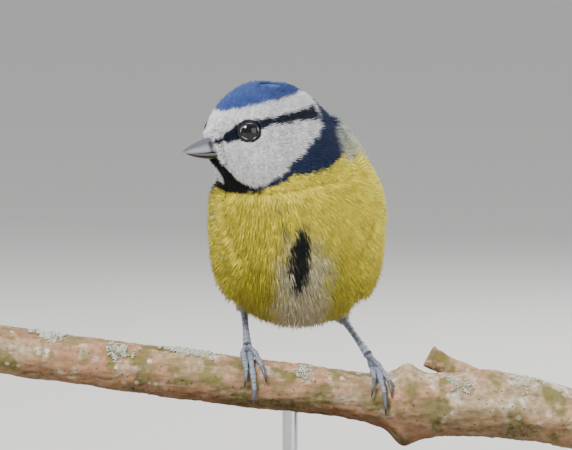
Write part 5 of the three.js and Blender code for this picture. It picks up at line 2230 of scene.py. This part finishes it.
def legs(body: Body, branch: Branch) -> list[Leg]:
    """Returns both legs in the pose of the photograph."""
    right = Leg(
        "right",
        (-10.4, 11.2, 53.2),
        (-9.5, -1.6, 44.9),
        (-7.0, 5.5, 58.0),
        (
            Toe((-10.4, -9.6, -10.1), (12, 66, 98)),
            Toe((-9.0, -7.8, -8.2), (10, 104, 136)),
            Toe((-7.7, -6.0, -5.2), (14, 52, 84)),
            Toe((-9.2, -9.3, -9.6), (-20, -78, -122)),
        ),
        body,
        branch,
    )
    left = Leg(
        "left",
        (11.5, 11.6, 50.6),
        (17.3, -1.9, 42.9),
        (8.5, 5.5, 56.5),
        (
            Toe((18.2, 18.8, 18.0), (10, 48, 86)),
            Toe((19.1, 21.0, 21.3), (8, 76, 120)),
            Toe((20.0, 22.2, 22.6), (12, 52, 82)),
            Toe((18.7, 18.2, 18.0), (-18, -72, -112)),
        ),
        body,
        branch,
    )
    return [right, left]


def build_bird(body: Body, colours: Palette, branch: Branch, coat: Coat) -> None:
    """Makes the bird.

    Args:
        body: Its form and place.
        colours: Its palette.
        branch: What its feet grip.
        coat: What grows the small feathers.
    """
    skin_finish = TintFinish(
        "skin_under_feathers", roughness=0.85, specular=0.2, variation=0.3, depth=0.0001
    ).make()
    vane_finish = VaneFinish("vane", roughness=0.55, specular=0.35, sheen=0.1).make()
    horn = TintFinish(
        "horn", roughness=0.32, specular=0.5, grain=700, variation=0.15, depth=0.00002
    ).make()
    leg_skin = ScaleFinish("leg_scales", roughness=0.5, specular=0.45).make()
    cornea = TintFinish("cornea", roughness=0.03, specular=0.3, coat=0.25, variation=0.0).make()
    eyes = [Eye(body, 1), Eye(body, -1)]
    plumage = Plumage(body, Unwrap(body), Markings(body, colours), coat, eyes=eyes)
    plumage.skin(skin_finish)
    for eye in eyes:
        eye.ball(cornea)
        eye.lids(skin_finish)
    Bill(body).build(horn)
    plumage.cover()
    wing = Wing(body, colours)
    for side in (1, -1):
        wing.build(side, vane_finish, skin_finish, coat)
    Tail(body, colours).build(vane_finish)
    for leg in legs(body, branch):
        leg.build(leg_skin, horn, coat)
    log.info("coat faces: %d", coat.total)


def main() -> None:
    """Builds the scene."""
    logging.basicConfig(level=logging.INFO)
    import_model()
    body, branch = Body(), Branch()
    coat = Coat(TintFinish("feather", roughness=0.85, specular=0.12, sheen=0.04, variation=0.12).make())
    build_bird(body, Palette(), branch, coat)
    branch.build(BarkFinish("bark", roughness=0.85, specular=0.25).make(), coat)
    wood = WoodFinish("stained_wood", roughness=0.4, specular=0.45).make()
    steel = SteelFinish("brushed_steel", roughness=0.3, metallic=1.0).make()
    Stand().build(wood, steel, rod_top=30.6)
    Studio().build()


if __name__ == "__main__":
    main()
